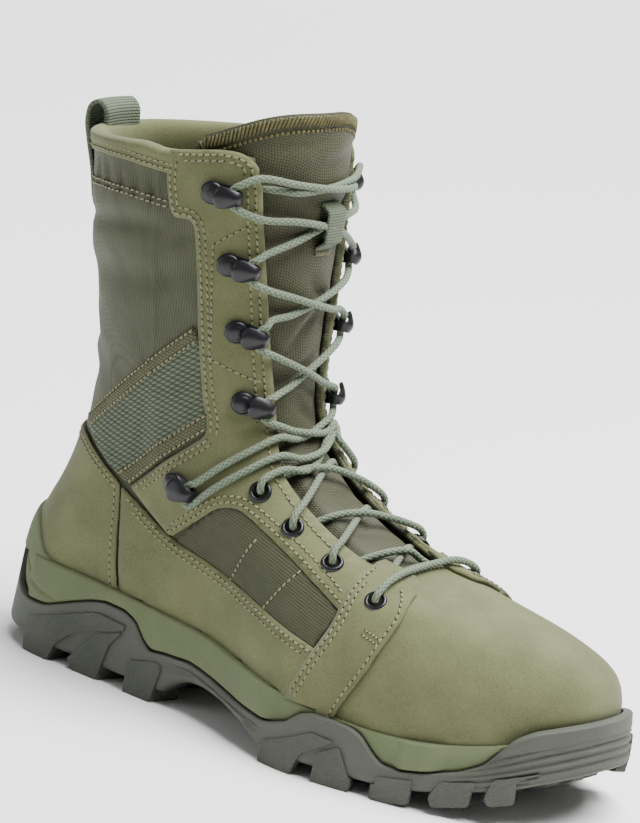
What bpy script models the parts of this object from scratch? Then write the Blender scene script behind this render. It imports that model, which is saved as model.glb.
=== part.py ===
"""Right boot with a laced eight-inch shaft, built as separate named pieces.

Metres in the scene, millimetres in the tables below.
+X points to the toe, +Y to the inner side of the foot, +Z up; the boot stands on Z = 0.
"""
import math

import bmesh
import bpy
import numpy as np
from mathutils import Matrix

# Scale from the tables to the scene
MM = 0.001
BOOT = "tactical_boot"

# Where the middle of the standing boot lies in the tables, so the origin is under its middle
ORIGIN_X = 150.17
ORIGIN_Y = -0.25

# Wall and fit
WALL = 2.2
SEAM = 0.3
OVERLAY = 1.2
FEATHER_GAP = 0.5
TONGUE_GAP = 0.5
TONGUE = 3.0
INSOLE = 4.0
INSOLE_INSET = 4.8

# Outsole
SOLE_STEPS = 68
LUG_DEPTH = 5.0
SOLE_SKIN = 3.0
RIM_INNER = 2.6
RIM_OUTER = 5.0
SIDE_BULGE = 6.0
LUG_EDGE = 6.6
BLOCK_INNER = 4.2
BLOCK_OUTER = 7.0
BLOCK_TALL = 19.0
BLOCK_SLOPE = 3.5
SPRING_START = 218.0
SPRING_LENGTH = 77.0
SPRING_RISE = 22.0
HEEL_BEVEL = 16.0
HEEL_BEVEL_RISE = 4.0
HEEL_LEAN = 1.3

# Hardware and cords
EYELET_R = 4.2
EYELET_BORE = 2.4
EYELET_RIM = 1.0
EYELET_GAP = 0.75
EYELET_SHORT = 0.8
HOLE_R = 3.0
EYELET_SIDES = 8
LACE_R = 1.7
HOOK_THICK = 1.6
HOOK_GAP = 1.3
LOOP_WIDTH = 26.0
LOOP_THICK = 1.8

# One row for each ring of the last, from the feather line up to the tongue top
RING_COLUMNS = ("back_x", "back_z", "front_x", "front_z", "sag", "back_r", "heel_w",
                "waist_w", "ball_out", "ball_in", "nose_out", "nose_in")
RINGS = (
    (9, 39, 288, 37, 13.5, 40, 33, 36, 53.5, 46, 105, 84),
    (11, 50, 289.5, 47, 11, 40, 34, 37, 53.5, 47, 105, 84),
    (15, 60, 284.5, 57, 6, 40, 33.5, 37, 50.5, 46, 104, 84),
    (19.5, 70, 270.5, 64.5, 3, 40, 32.5, 37, 46, 42.5, 100, 106),
    (23, 80, 249, 69.8, 1, 40, 31.5, 37, 42, 37, 94, 133),
    (25.5, 90, 223, 73.5, 0, 40, 31, 36.5, 39, 34, 86, 135),
    (27, 101, 198, 79.8, 0, 42, 31, 36, 36.5, 33, 78, 115),
    (27.5, 113, 172, 89, 0, 44, 31.5, 35.5, 35, 33, 68, 90),
    (27, 126, 149, 102, 0, 47, 33, 35, 34.5, 33.5, 58, 68),
    (25.5, 141, 131, 121, 0, 50, 35, 36, 35.5, 35, 52, 54),
    (22, 159, 127, 145, 0, 52, 37.5, 38, 37.5, 37.5, 50, 50),
    (18, 178, 126, 172, -1, 52, 40, 40.5, 40, 40, 50, 50),
    (15, 197, 126, 200, -2, 54, 41.5, 42, 41.5, 41.5, 52, 52),
    (13, 217, 126, 229, -3, 55, 42.5, 43, 42.5, 42.5, 53, 53),
    (12, 235, 125, 254, -3, 55, 43, 43.5, 43, 43, 53, 53),
)
COLLAR = 13.0
THROAT = 6.0
TONGUE_FOOT = 5.0
TONGUE_TOP = 13.75
TONGUE_DIP = 0.5
BACK_ROUND = 2.1
NOSE_ROUND = 2.2
SAG_POWER = 2.4

# Half width of the throat at each level of the last
THROAT_GAPS = ((0, 22), (5.5, 24), (6.2, 24), (7.2, 22.7), (8.1, 21.6), (8.6, 18), (9, 15.5),
               (9.5, 16), (10.4, 20), (11.3, 24.2), (12.2, 28.2), (12.6, 29.5), (12.85, 32), (14, 36))
# Share of that half width on the inner side, where the instep is narrower
INNER_GAPS = ((0, 0.78), (7.6, 0.8), (9, 1.0))

# Levels and columns that the shell is faceted at
LEVELS = (0, 1, 1.6, 2.3, 3, 4, 5, 6, 6.8, 7.6, 8.4, 9, 9.8, 10.8, 11.8, 12.6, 13, 13.75)
SIDE_COLUMNS = 11
VAMP_COLUMNS = 2

# Top line of the outsole along the side, and its arch
RIM_TOP = ((0, 46), (10, 45), (14, 40), (20, 27), (29, 21), (40, 22), (61, 29), (72, 31), (84, 29),
           (92, 24), (100, 20.5), (121, 19), (139, 15.5), (154, 13), (170, 12), (176, 14), (186, 22),
           (196, 26), (208, 26), (216, 23), (223, 17), (233, 14.5), (244, 16), (258, 21), (268, 27),
           (273, 34), (280, 39), (288, 44), (296, 46))
ARCH = ((105, 0), (112, 9), (120, 13), (131, 12.5), (145, 10.5), (162, 7), (172, 0))

# Panel outlines as seen from the side, x and z
EYESTAY = ((75.5, 244), (75.5, 215), (78.5, 201.5), (81.2, 199), (91.5, 200), (93.2, 196), (96.4, 176.7),
           (99.3, 152), (103.1, 127.6), (105.7, 117.8), (106, 113.5), (71.8, 82.3), (99.4, 69.2),
           (121, 88), (126, 90.4), (131, 89.2), (154.1, 80), (181.1, 69.4), (188.5, 66), (190.2, 62),
           (189.5, 57), (178, 29.7), (176, 16), (199, 16), (201.8, 28), (211.9, 48.6), (215.8, 67),
           (214.5, 72), (210, 74.5), (204.8, 76.8), (198.2, 78.3), (184.5, 82), (180, 98), (150, 118),
           (138, 150), (138, 244))
FOXING = ((67.6, 78.6), (71.6, 81.3), (99.2, 68.3), (103, 69), (183, 50.4), (181, 42.9), (177.2, 29.7),
          (175.2, 16), (77.2, 16), (75.5, 38.4), (72.8, 55))
COUNTER = ((-20, 96), (31, 96), (40.5, 94.4), (63.8, 82.6), (66.8, 79), (72, 55), (74.7, 38.4),
           (76.4, 16), (-20, 16))
STRAP = ((37, 98.2), (40, 97), (64.6, 84.2), (67.2, 83.4), (105.2, 118.6), (102.5, 127.8), (98.6, 152.4),
         (95, 155.6))
CUFF = ((-20, 204), (10, 209), (18.2, 212), (54, 219), (75, 219.6), (75, 246), (-20, 246))

# Places on the side view, x and z: hooks from the top down, then eyelets from the top down
HOOKS = ((98.5, 212.8), (107.5, 185.4), (112.4, 158.2), (117, 128.2), (102.2, 90.6))
EYELETS = ((135.1, 97.1), (153.9, 87.2), (176.1, 79), (201.7, 71.1))

# Bent strip of a speed hook: place along it towards the throat, height, half width
HOOK_STRIP = ((-8.5, 0.0, 2.8), (-6.5, 0.0, 4.6), (-1.5, 0.0, 4.8), (3.4, 0.0, 3.6), (5.9, 1.4, 3.2),
              (6.7, 3.6, 3.2), (5.3, 5.7, 3.6), (1.8, 6.4, 4.2), (-1.6, 7.0, 3.2))

# Edge lugs for each side: side, rear x, front x, reach inwards, shift of the inner end
EDGE_LUGS = (
    (-1, 22, 41, 15, 2), (-1, 57, 76, 16, 3), (-1, 88, 104, 16, 4),
    (-1, 174, 190, 20, -6), (-1, 199, 217, 21, -5), (-1, 226, 242, 20, -5), (-1, 250, 264, 16, -4),
    (-1, 270, 279, 12, -3),
    (1, 20, 41, 15, 2), (1, 47, 69, 16, 4), (1, 78, 103, 17, 6),
    (1, 170, 186, 20, 5), (1, 193, 212, 21, 6), (1, 219, 237, 20, 5), (1, 244, 259, 16, 2),
    (1, 266, 277, 12, -2),
)
# Middle lugs: x, y, length, width, slant of the front end
MIDDLE_LUGS = (
    (160, 17, 20, 12, 5), (183, 20, 20, 14, 4), (206, 22, 18, 15, 4), (227, 22, 17, 14, 4),
    (251, -3, 8, 8, 1), (251, 9, 8, 8, 1), (261, -3, 8, 8, 1), (261, 9, 8, 8, 1), (261, 20, 8, 7, 1),
    (271, 1, 8, 8, 1), (271, 13, 8, 8, 1), (280, 6, 6, 8, 1), (280, 16, 6, 7, 1),
    (24, 0, 16, 16, 3), (50, 4, 16, 10, -4), (72, 3, 18, 9, 5), (96, -2, 12, 18, 3),
)
# Chevron lugs of the middle: x, y
CHEVRONS = ((162, -10), (179, -9), (196, -8), (213, -7), (230, -6))
CHEVRON_ARM = 11.0
CHEVRON_RISE = 8.0
CHEVRON_BAR = 6.5

# Ribs around the toe: height over the ground line
TOE_RIBS = (13.0, 19.0)
RIB_R = 1.5
RIB_REACH = 0.16

# Pull loop section at the back of the collar, x behind or ahead of the collar and z
LOOP_PATH = ((-1.2, 189), (-2.6, 200), (-5.6, 212), (-7.2, 221), (-5.6, 227.5), (-1.2, 230), (2.6, 227.5),
             (4.4, 222), (5.4, 212), (6.4, 200))
LOOP_CURVE = 46.0

# Strip that keeps the lace on the tongue: low y, high y, low z, high z
KEEPER = (1.5, 13.5, 191.0, 210.0)

# Rows of the lace on the throat edge, from the bottom up
LACE_LEVELS = (5.75, 6.5, 7.25, 8.35, 9.25, 10.4, 11.4, 12.25)
LACE_LIFT = 5.0
LACE_BULGE = 0.36
LACE_TURN = 0.09

TABLE = np.array(RINGS, dtype=float)


def clear_scene():
    """Remove every object so the script starts from an empty scene."""
    for item in list(bpy.data.objects):
        bpy.data.objects.remove(item, do_unlink=True)


def smooth(value):
    """Ease from 0 to 1."""
    t = min(max(value, 0.0), 1.0)
    return t * t * (3.0 - 2.0 * t)


def lookup(table, value):
    """Read a two-column table at a value."""
    keys = [row[0] for row in table]
    return float(np.interp(value, keys, [row[1] for row in table]))


def ring_at(level):
    """Ring sizes at a level of the last, eased between the rows of the table."""
    last = len(TABLE) - 1
    v = min(max(level, 0.0), last)
    i = min(int(v), last - 1)
    t = v - i
    a, b = TABLE[max(i - 1, 0)], TABLE[i]
    c, d = TABLE[i + 1], TABLE[min(i + 2, last)]
    bend = (2 * a - 5 * b + 4 * c - d) * t ** 2
    twist = (3 * b - a - 3 * c + d) * t ** 3
    row = 0.5 * (2 * b + (c - a) * t + bend + twist)
    return dict(zip(RING_COLUMNS, row))


def centre_line(x):
    """Swing of the foot's middle line towards the inner side."""
    t = min(max((x - 60.0) / 230.0, 0.0), 1.3)
    return 1.0 + 8.5 * t * t


def ring_point(ring, side, g):
    """Point and half width on a ring: side -1 outer, 1 inner; g from back 0 to front 1."""
    length = ring["front_x"] - ring["back_x"]
    p = 0.5 * (1.0 - math.cos(math.pi * min(max(g, 0.0), 1.0)))
    d = p * length
    nose = ring["nose_out"] if side < 0 else ring["nose_in"]
    ball = ring["ball_out"] if side < 0 else ring["ball_in"]
    heel_end = ring["back_r"]
    ball_start = length - nose
    middle = 0.5 * (heel_end + ball_start)
    if d < middle:
        ease = smooth((d - heel_end) / max(middle - heel_end, 1e-6))
        width = ring["heel_w"] + (ring["waist_w"] - ring["heel_w"]) * ease
    else:
        ease = smooth((d - middle) / max(ball_start - middle, 1e-6))
        width = ring["waist_w"] + (ball - ring["waist_w"]) * ease
    if d < heel_end:
        width *= max(0.0, 1.0 - (1.0 - d / heel_end) ** BACK_ROUND) ** (1.0 / BACK_ROUND)
    if d > ball_start:
        width *= max(0.0, 1.0 - ((d - ball_start) / nose) ** NOSE_ROUND) ** (1.0 / NOSE_ROUND)
    x = ring["back_x"] + d
    z = ring["back_z"] + (ring["front_z"] - ring["back_z"]) * p
    z -= ring["sag"] * math.sin(math.pi * p ** SAG_POWER)
    return np.array((x, centre_line(x) + side * width, z)), width


def surface(around, level):
    """Point of the last: around 0 back, 0.5 outer side, 1 front, 1.5 inner side."""
    a = around % 2.0
    side, g = (-1, a) if a <= 1.0 else (1, 2.0 - a)
    return ring_point(ring_at(level), side, g)[0]


def normal(around, level):
    """Outward direction of the last's surface."""
    step = 0.004
    low = max(level - 0.03, 0.0)
    high = min(level + 0.03, len(TABLE) - 1.0)
    along = surface(around + step, level) - surface(around - step, level)
    rise = surface(around, high) - surface(around, low)
    n = np.cross(along, rise)
    return n / np.linalg.norm(n)


def offset_point(around, level, distance):
    """Point at a distance outside the last."""
    return surface(around, level) + normal(around, level) * distance


def around_at_width(side, level, width):
    """Place towards the front of a ring where its half width has a given size."""
    ring = ring_at(level)
    low, high = 0.5, 1.0
    for _ in range(40):
        mid = 0.5 * (low + high)
        if ring_point(ring, side, mid)[1] > width:
            low = mid
        else:
            high = mid
    return low if side < 0 else 2.0 - low


def throat_gap(side, level):
    """Half width of the throat on one side."""
    gap = lookup(THROAT_GAPS, level)
    return gap * lookup(INNER_GAPS, level) if side > 0 else gap


def throat_edge(side, level):
    """Place of the throat edge on a ring."""
    return around_at_width(side, level, throat_gap(side, level))


def locate(side, x, z):
    """Place and level of the last's side at a point of the side view."""
    low, high = 0.0, len(TABLE) - 1.0
    g = 0.5
    for _ in range(40):
        level = 0.5 * (low + high)
        ring = ring_at(level)
        g_low, g_high = 0.0, 1.0
        for _ in range(40):
            g = 0.5 * (g_low + g_high)
            if ring_point(ring, side, g)[0][0] < x:
                g_low = g
            else:
                g_high = g
        if ring_point(ring, side, g)[0][2] < z:
            low = level
        else:
            high = level
    return (g if side < 0 else 2.0 - g), level


def column_places(level):
    """Places around a ring at which the shell is faceted, a closed round."""
    out_edge = throat_edge(-1, level)
    in_edge = throat_edge(1, level)
    places = list(np.linspace(0.0, out_edge, SIDE_COLUMNS + 1))
    places += list(np.linspace(out_edge, 1.0, VAMP_COLUMNS + 1)[1:])
    places += list(np.linspace(1.0, in_edge, VAMP_COLUMNS + 1)[1:])
    places += list(np.linspace(in_edge, 2.0, SIDE_COLUMNS + 1)[1:-1])
    return places


COLUMNS = 2 * (SIDE_COLUMNS + VAMP_COLUMNS)


def ground(x):
    """Height of the tread's ground line: heel bevel at the back, toe spring at the front."""
    toe = SPRING_RISE * (max(x - SPRING_START, 0.0) / SPRING_LENGTH) ** 2
    heel = HEEL_BEVEL_RISE * (max(HEEL_BEVEL - x, 0.0) / HEEL_BEVEL) ** 1.5
    return toe + heel


def sole_floor(x):
    """Height of the outsole's underside between the lugs."""
    return ground(x) + max(LUG_DEPTH, lookup(ARCH, x))


def rim_top(x):
    """Height of the outsole's top line at the side."""
    return max(lookup(RIM_TOP, x), sole_floor(x) + 2.5)


def tray_floor(x):
    """Height of the outsole's tray, under the midsole."""
    return min(sole_floor(x) + SOLE_SKIN, rim_top(x) - 0.5)


def flare(x):
    """Extra width of the outsole's side at the ball and the toe bumper."""
    toe = 2.4 * smooth((x - 252.0) / 22.0)
    ball = 1.6 * math.exp(-((x - 190.0) / 16.0) ** 2)
    return toe + ball


def heel_lean(point):
    """How far the outsole's heel tab leans in towards the counter."""
    return HEEL_LEAN * smooth((20.0 - point[0]) / 8.0)


def sole_frame(side, g):
    """Feather point and outward direction in plan at a place of the sole outline."""
    step = 0.004
    a = g if side < 0 else 2.0 - g
    ahead = surface(a + step, 0.0)
    behind = surface(a - step, 0.0)
    t = (ahead - behind)[:2]
    t = t / np.linalg.norm(t)
    return surface(a, 0.0), np.array((t[1], -t[0], 0.0))


def outline_at_x(side, x, offset):
    """Plan point beside the sole outline at a station x, moved outwards."""
    ring = ring_at(0.0)
    low, high = 0.0, 1.0
    for _ in range(40):
        g = 0.5 * (low + high)
        if ring_point(ring, side, g)[0][0] < x:
            low = g
        else:
            high = g
    point, out = sole_frame(side, g)
    return point + out * offset


def collection(name, hidden):
    """Make a collection in the scene."""
    group = bpy.data.collections.new(name)
    bpy.context.scene.collection.children.link(group)
    group.hide_render = hidden
    return group


def material(name, colour, roughness, metallic=0.0):
    """Make a Principled material."""
    mat = bpy.data.materials.new(name)
    mat.use_nodes = True
    shader = mat.node_tree.nodes["Principled BSDF"]
    shader.inputs["Base Color"].default_value = (*colour, 1.0)
    shader.inputs["Roughness"].default_value = roughness
    shader.inputs["Metallic"].default_value = metallic
    mat.diffuse_color = (*colour, 1.0)
    return mat


def to_scene(point):
    """Table millimetres to scene metres, with the origin under the boot's middle."""
    return tuple((np.asarray(point, dtype=float) - np.array((ORIGIN_X, ORIGIN_Y, 0.0))) * MM)


def add_object(name, work, group, mat=None):
    """Make an object from an edited mesh; without a material it is a cutter."""
    mesh = bpy.data.meshes.new(name)
    work.to_mesh(mesh)
    work.free()
    item = bpy.data.objects.new(name, mesh)
    group.objects.link(item)
    if mat is not None:
        mesh.materials.append(mat)
    else:
        item.hide_render = True
        item.display_type = "WIRE"
    return item


def add_solidify(item, thickness, side):
    """Give an open surface a thickness: side -1 inwards, 1 outwards, 0 both ways."""
    mod = item.modifiers.new("wall", "SOLIDIFY")
    mod.thickness = thickness * MM
    mod.offset = side
    mod.use_even_offset = False
    return mod


def add_boolean(item, cutter, operation):
    """Add an exact Boolean modifier."""
    mod = item.modifiers.new(operation.lower(), "BOOLEAN")
    mod.operation = operation
    mod.solver = "EXACT"
    mod.object = cutter
    return mod


def sheet(name, rows, columns, place, group, mat=None, keep=None):
    """Open surface: a grid whose corners go where place(row, column) says.

    keep: which cells stay, by row and column; every cell is split along the same diagonal.
    """
    work = bmesh.new()
    bmesh.ops.create_grid(work, x_segments=columns, y_segments=rows, size=1.0)
    spots = {}
    for vert in work.verts:
        row = round((vert.co.y + 1.0) * 0.5 * rows)
        column = round((vert.co.x + 1.0) * 0.5 * columns)
        spots[vert] = (row, column)
        vert.co = to_scene(place(row, column))
    drop = []
    for face in work.faces:
        row = min(spots[v][0] for v in face.verts)
        column = min(spots[v][1] for v in face.verts)
        if keep is not None and not keep(row, column):
            drop.append(face)
    bmesh.ops.delete(work, geom=drop, context="FACES")
    bmesh.ops.triangulate(work, faces=work.faces, quad_method="FIXED")
    bmesh.ops.remove_doubles(work, verts=work.verts, dist=1e-6)
    return add_object(name, work, group, mat)


def shell(name, keep, distance, thickness, side, group, mat=None, crest=None):
    """Wall over chosen cells of the last's facets, at a distance from it.

    crest: level of the top row at a column, where it isn't level.
    """
    rounds = [column_places(level) for level in LEVELS]

    def place(row, column):
        level = LEVELS[row]
        if crest is not None and row == len(LEVELS) - 1:
            level = crest(column)
        return offset_point(rounds[row][column % COLUMNS], level, distance)

    item = sheet(name, len(LEVELS) - 1, COLUMNS, place, group, mat, keep)
    add_solidify(item, thickness, side)
    return item


def upper_keep(low, high):
    """Cells of the upper between two levels, without the throat."""
    slot = range(SIDE_COLUMNS, SIDE_COLUMNS + 2 * VAMP_COLUMNS)

    def keep(row, column):
        if LEVELS[row] < low - 1e-6 or LEVELS[row + 1] > high + 1e-6:
            return False
        return not (column in slot and LEVELS[row] >= THROAT - 1e-6)

    return keep


def add_block(work, corners, tops):
    """Add a closed block to an edited mesh: a face through the corners, drawn out to the tops."""
    face = work.faces.new([work.verts.new(to_scene(c)) for c in corners])
    side = bmesh.ops.extrude_face_region(work, geom=[face], use_keep_orig=True)
    ends = [v for v in side["geom"] if isinstance(v, bmesh.types.BMVert)]
    for corner, top in zip(corners, tops):
        start = np.array(to_scene(corner))
        nearest = min(ends, key=lambda v: float(np.linalg.norm(np.array(v.co) - start)))
        nearest.co = to_scene(top)
        ends.remove(nearest)


def prism(name, outline, low_y, high_y, group):
    """Cutter through the boot from an outline in the side view."""
    work = bmesh.new()
    add_block(work, [(x, low_y, z) for x, z in outline], [(x, high_y, z) for x, z in outline])
    bmesh.ops.recalc_face_normals(work, faces=work.faces)
    return add_object(name, work, group)


def overlay(name, outline, low_y, high_y, low, high, groups, mat):
    """Panel lying on the upper: its outline cut out of a wall over the upper's facets."""
    item = shell(name, upper_keep(low, high), SEAM, OVERLAY, 1, groups[0], mat)
    cutter = prism(name + "_outline", outline, low_y, high_y, groups[1])
    add_boolean(item, cutter, "INTERSECT")
    return item


def ladder_solid(name, sections, group, mat):
    """Closed solid from rings of equal count, low ring first, ends filled across the boot.

    sections: lists of points, each running back, outer side, front, inner side.
    """
    count = len(sections[0])
    half = count // 2
    points = [p for ring in sections for p in ring]
    faces = []
    for r in range(len(sections) - 1):
        for i in range(count):
            j = (i + 1) % count
            a, b = r * count + i, r * count + j
            faces.append((a, b, b + count))
            faces.append((a, b + count, a + count))
    top = (len(sections) - 1) * count
    for base, flip in ((0, True), (top, False)):
        for i in range(half):
            m, n = (count - i) % count, count - i - 1
            quad = [base + i, base + i + 1, base + n, base + m]
            tri = [quad[:3], [quad[0], quad[2], quad[3]]]
            for t in tri:
                if len(set(t)) == 3:
                    faces.append(tuple(reversed(t)) if flip else tuple(t))
    work = bmesh.new()
    verts = [work.verts.new(to_scene(p)) for p in points]
    for face in faces:
        work.faces.new([verts[i] for i in face])
    bmesh.ops.recalc_face_normals(work, faces=work.faces)
    return add_object(name, work, group, mat)


def sole_ring(count, offset, height):
    """Ring of points beside the sole outline; offset and height are functions of the feather point."""
    half = count // 2
    ring = []
    for i in range(count):
        side, g = (-1, i / half) if i <= half else (1, (count - i) / half)
        point, out = sole_frame(side, g)
        moved = point + out * offset(point)
        ring.append((moved[0], moved[1], height(point)))
    return ring


def outsole_base(group, mat):
    """Tray of the outsole without its lugs."""
    count = SOLE_STEPS

    def top(p):
        return rim_top(p[0])

    def bulge(p):
        return min(sole_floor(p[0]) + 3.0, rim_top(p[0]) - 1.0)

    sections = [
        sole_ring(count, lambda p: 2.0 + flare(p[0]), lambda p: sole_floor(p[0])),
        sole_ring(count, lambda p: SIDE_BULGE + flare(p[0]), bulge),
        sole_ring(count, lambda p: RIM_OUTER + 0.6 * flare(p[0]) - heel_lean(p), top),
        sole_ring(count, lambda p: RIM_INNER - heel_lean(p), top),
        sole_ring(count, lambda p: RIM_INNER, lambda p: tray_floor(p[0])),
    ]
    return ladder_solid("outsole", sections, group, mat)


def tread(work, plan):
    """Add one lug that reaches from the ground line into the outsole's skin."""
    add_block(work, [(x, y, ground(x)) for x, y in plan], [(x, y, sole_floor(x) + 1.2) for x, y in plan])


def lug_cutter(group):
    """All tread lugs as one mesh of separate blocks."""
    work = bmesh.new()
    for side, rear, front, reach, shift in EDGE_LUGS:
        mid = 0.5 * (rear + front + shift) + 3.0
        spots = ((rear, LUG_EDGE), (front, LUG_EDGE), (front + shift, -reach * 0.45), (mid, -reach),
                 (rear + shift, -reach * 0.8))
        tread(work, [outline_at_x(side, x, e)[:2] for x, e in spots])
    for x, y, length, width, slant in MIDDLE_LUGS:
        h, w = 0.5 * length, 0.5 * width
        tread(work, [(x - h, y - w), (x + h, y - w), (x + h + slant, y + w), (x - h + slant, y + w)])
    for x, y in CHEVRONS:
        tread(work, [(x, y - CHEVRON_ARM), (x + CHEVRON_BAR, y - CHEVRON_ARM),
                     (x + CHEVRON_BAR + CHEVRON_RISE, y), (x + CHEVRON_BAR, y + CHEVRON_ARM),
                     (x, y + CHEVRON_ARM), (x + CHEVRON_RISE, y)])
    bmesh.ops.recalc_face_normals(work, faces=work.faces)
    return add_object("tread_lugs", work, group)


def side_block_cutter(group):
    """Blocks that carry the edge lugs up the side of the outsole."""
    work = bmesh.new()
    for side, rear, front, reach, shift in EDGE_LUGS:
        low, high = [], []
        back, ahead = rear + 0.6, front - 0.6
        for x, offset, drop in ((back, BLOCK_OUTER, BLOCK_SLOPE), (ahead, BLOCK_OUTER, BLOCK_SLOPE),
                                (ahead, BLOCK_INNER, 0.0), (back, BLOCK_INNER, 0.0)):
            extra = flare(x) if drop else 0.0
            plan = outline_at_x(side, x, offset + extra)
            bottom = ground(x) + 0.8
            top = min(rim_top(x) - 1.5, ground(x) + BLOCK_TALL) - drop
            low.append((plan[0], plan[1], bottom))
            high.append((plan[0], plan[1], max(top, bottom + 3.0)))
        add_block(work, low, high)
    bmesh.ops.recalc_face_normals(work, faces=work.faces)
    return add_object("side_blocks", work, group)


def cord(name, paths, radius, sides, group, mat=None):
    """Closed tubes along paths, made from a curve with a round section and then a mesh."""
    curve = bpy.data.curves.new(name, "CURVE")
    curve.dimensions = "3D"
    curve.bevel_depth = radius * MM
    curve.bevel_resolution = sides
    curve.use_fill_caps = True
    for path in paths:
        spline = curve.splines.new("POLY")
        spline.points.add(len(path) - 1)
        for point, spot in zip(spline.points, path):
            point.co = (*to_scene(spot), 1.0)
    source = bpy.data.objects.new(name + "_path", curve)
    group.objects.link(source)
    bpy.context.view_layer.update()
    mesh = bpy.data.meshes.new_from_object(source.evaluated_get(bpy.context.evaluated_depsgraph_get()))
    bpy.data.objects.remove(source, do_unlink=True)
    work = bmesh.new()
    work.from_mesh(mesh)
    bmesh.ops.remove_doubles(work, verts=work.verts, dist=1e-6)
    bmesh.ops.recalc_face_normals(work, faces=work.faces)
    bpy.data.meshes.remove(mesh)
    return add_object(name, work, group, mat)


def toe_rib_cutter(group):
    """Ribs that run around the toe bumper, sinking into it at both ends."""
    paths = []
    steps = 8
    for rise in TOE_RIBS:
        path = []
        for k in range(steps + 1):
            a = 1.0 - RIB_REACH + 2.0 * RIB_REACH * k / steps
            side, g = (-1, a) if a <= 1.0 else (1, 2.0 - a)
            point, out = sole_frame(side, g)
            low = sole_floor(point[0]) + 3.0
            height = ground(point[0]) + rise
            t = min(max((height - low) / max(rim_top(point[0]) - low, 1.0), 0.0), 1.0)
            wall = (SIDE_BULGE + flare(point[0])) * (1 - t) + (RIM_OUTER + 0.6 * flare(point[0])) * t
            sink = RIB_R * 1.1 * (1.0 - math.sin(math.pi * k / steps) ** 0.4)
            spot = point + out * (wall - sink)
            path.append((spot[0], spot[1], height))
        paths.append(path)
    return cord("toe_ribs", paths, RIB_R, 0, group)


def build_soles(groups, mats):
    """Outsole, midsole and insole."""
    outsole = outsole_base(groups[0], mats["outsole"])
    for cutter in (lug_cutter(groups[1]), side_block_cutter(groups[1]), toe_rib_cutter(groups[1])):
        add_boolean(outsole, cutter, "UNION")
    count = SOLE_STEPS

    def inset(p):
        return RIM_INNER - SEAM - heel_lean(p)

    def bottom(p):
        return tray_floor(p[0]) + SEAM

    def lower(p):
        return max(min(rim_top(p[0]) + 2.0 * SEAM, p[2] - FEATHER_GAP - 1.2), bottom(p) + 0.4)

    def ledge(p):
        nearby = max(rim_top(p[0] + step) for step in (-14, -7, 0, 7, 14))
        return inset(p) + 2.2 * min(max((p[2] - nearby - 2.0) / 3.0, 0.0), 1.0)

    ladder_solid("midsole", [
        sole_ring(count, inset, bottom),
        sole_ring(count, inset, lower),
        sole_ring(count, ledge, lambda p: lower(p) + 0.05),
        sole_ring(count, lambda p: max(inset(p), ledge(p) - 1.0), lambda p: p[2] - FEATHER_GAP),
    ], groups[0], mats["midsole"])
    count = 40
    ladder_solid("insole", [
        sole_ring(count, lambda p: -INSOLE_INSET, lambda p: p[2] - FEATHER_GAP + SEAM),
        sole_ring(count, lambda p: -INSOLE_INSET, lambda p: p[2] - FEATHER_GAP + SEAM + INSOLE),
    ], groups[0], mats["insole"])


def build_upper(groups, mats):
    """Upper with its eyelet holes, and the tongue under its throat."""
    upper = shell("upper", upper_keep(0.0, COLLAR), 0.0, WALL, -1, groups[0], mats["upper"])
    add_boolean(upper, bpy.data.objects["eyelet_holes"], "DIFFERENCE")
    columns = range(SIDE_COLUMNS - 2, SIDE_COLUMNS + 2 * VAMP_COLUMNS + 2)

    def keep(row, column):
        return column in columns and LEVELS[row] >= TONGUE_FOOT - 1e-6

    middle = SIDE_COLUMNS + VAMP_COLUMNS

    def crest(column):
        away = (column - middle - 0.5) / (VAMP_COLUMNS + 2.0)
        return TONGUE_TOP - TONGUE_DIP * min(away * away, 1.0)

    shell("tongue", keep, -WALL - TONGUE_GAP, TONGUE, -1, groups[0], mats["tongue"], crest)
    slot = range(SIDE_COLUMNS, SIDE_COLUMNS + 2 * VAMP_COLUMNS)
    keeper = shell("lace_keeper", lambda row, column: column in slot and LEVELS[row] >= 10.8,
                   -WALL - TONGUE_GAP + SEAM, OVERLAY, 1, groups[0], mats["webbing"])
    work = bmesh.new()
    low_y, high_y, low_z, high_z = KEEPER
    plan = ((low_y, low_z), (high_y, low_z), (high_y, high_z), (low_y, high_z))
    add_block(work, [(100.0, y, z) for y, z in plan], [(140.0, y, z) for y, z in plan])
    bmesh.ops.recalc_face_normals(work, faces=work.faces)
    add_boolean(keeper, add_object("lace_keeper_outline", work, groups[1]), "INTERSECT")


def build_overlays(groups, mats):
    """Panels that lie on the upper."""
    for name, side in (("outer", -1), ("inner", 1)):
        low_y, high_y = (-90.0, 1.0) if side < 0 else (4.0, 90.0)
        eyestay = overlay("eyestay_" + name, EYESTAY, low_y, high_y, 0.0, COLLAR, groups, mats["suede"])
        add_boolean(eyestay, bpy.data.objects["eyelet_holes"], "DIFFERENCE")
        overlay("foxing_" + name, FOXING, low_y, high_y, 0.0, 6.0, groups, mats["suede"])
        overlay("strap_" + name, STRAP, low_y, high_y, 3.5, 11.4, groups, mats["webbing"])
    overlay("counter", COUNTER, -90.0, 90.0, 0.0, 6.6, groups, mats["suede"])
    overlay("cuff", CUFF, -90.0, 90.0, 11.3, COLLAR, groups, mats["suede"])


def frame_on(side, x, z):
    """Place on the upper: point, towards the throat, across, and outward."""
    around, level = locate(side, x, z)
    point = surface(around, level)
    out = normal(around, level)
    ahead = surface(around - 0.01 * side, level) - point
    ahead = ahead - out * float(np.dot(ahead, out))
    ahead = ahead / np.linalg.norm(ahead)
    return point, ahead, np.cross(out, ahead), out


def stand_on(item, side, x, z):
    """Put an object on the upper: its X towards the throat and its Z outward."""
    point, ahead, across, out = frame_on(side, x, z)
    turn = Matrix((ahead, across, out)).transposed().to_4x4()
    item.matrix_world = Matrix.Translation(to_scene(point)) @ turn


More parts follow.
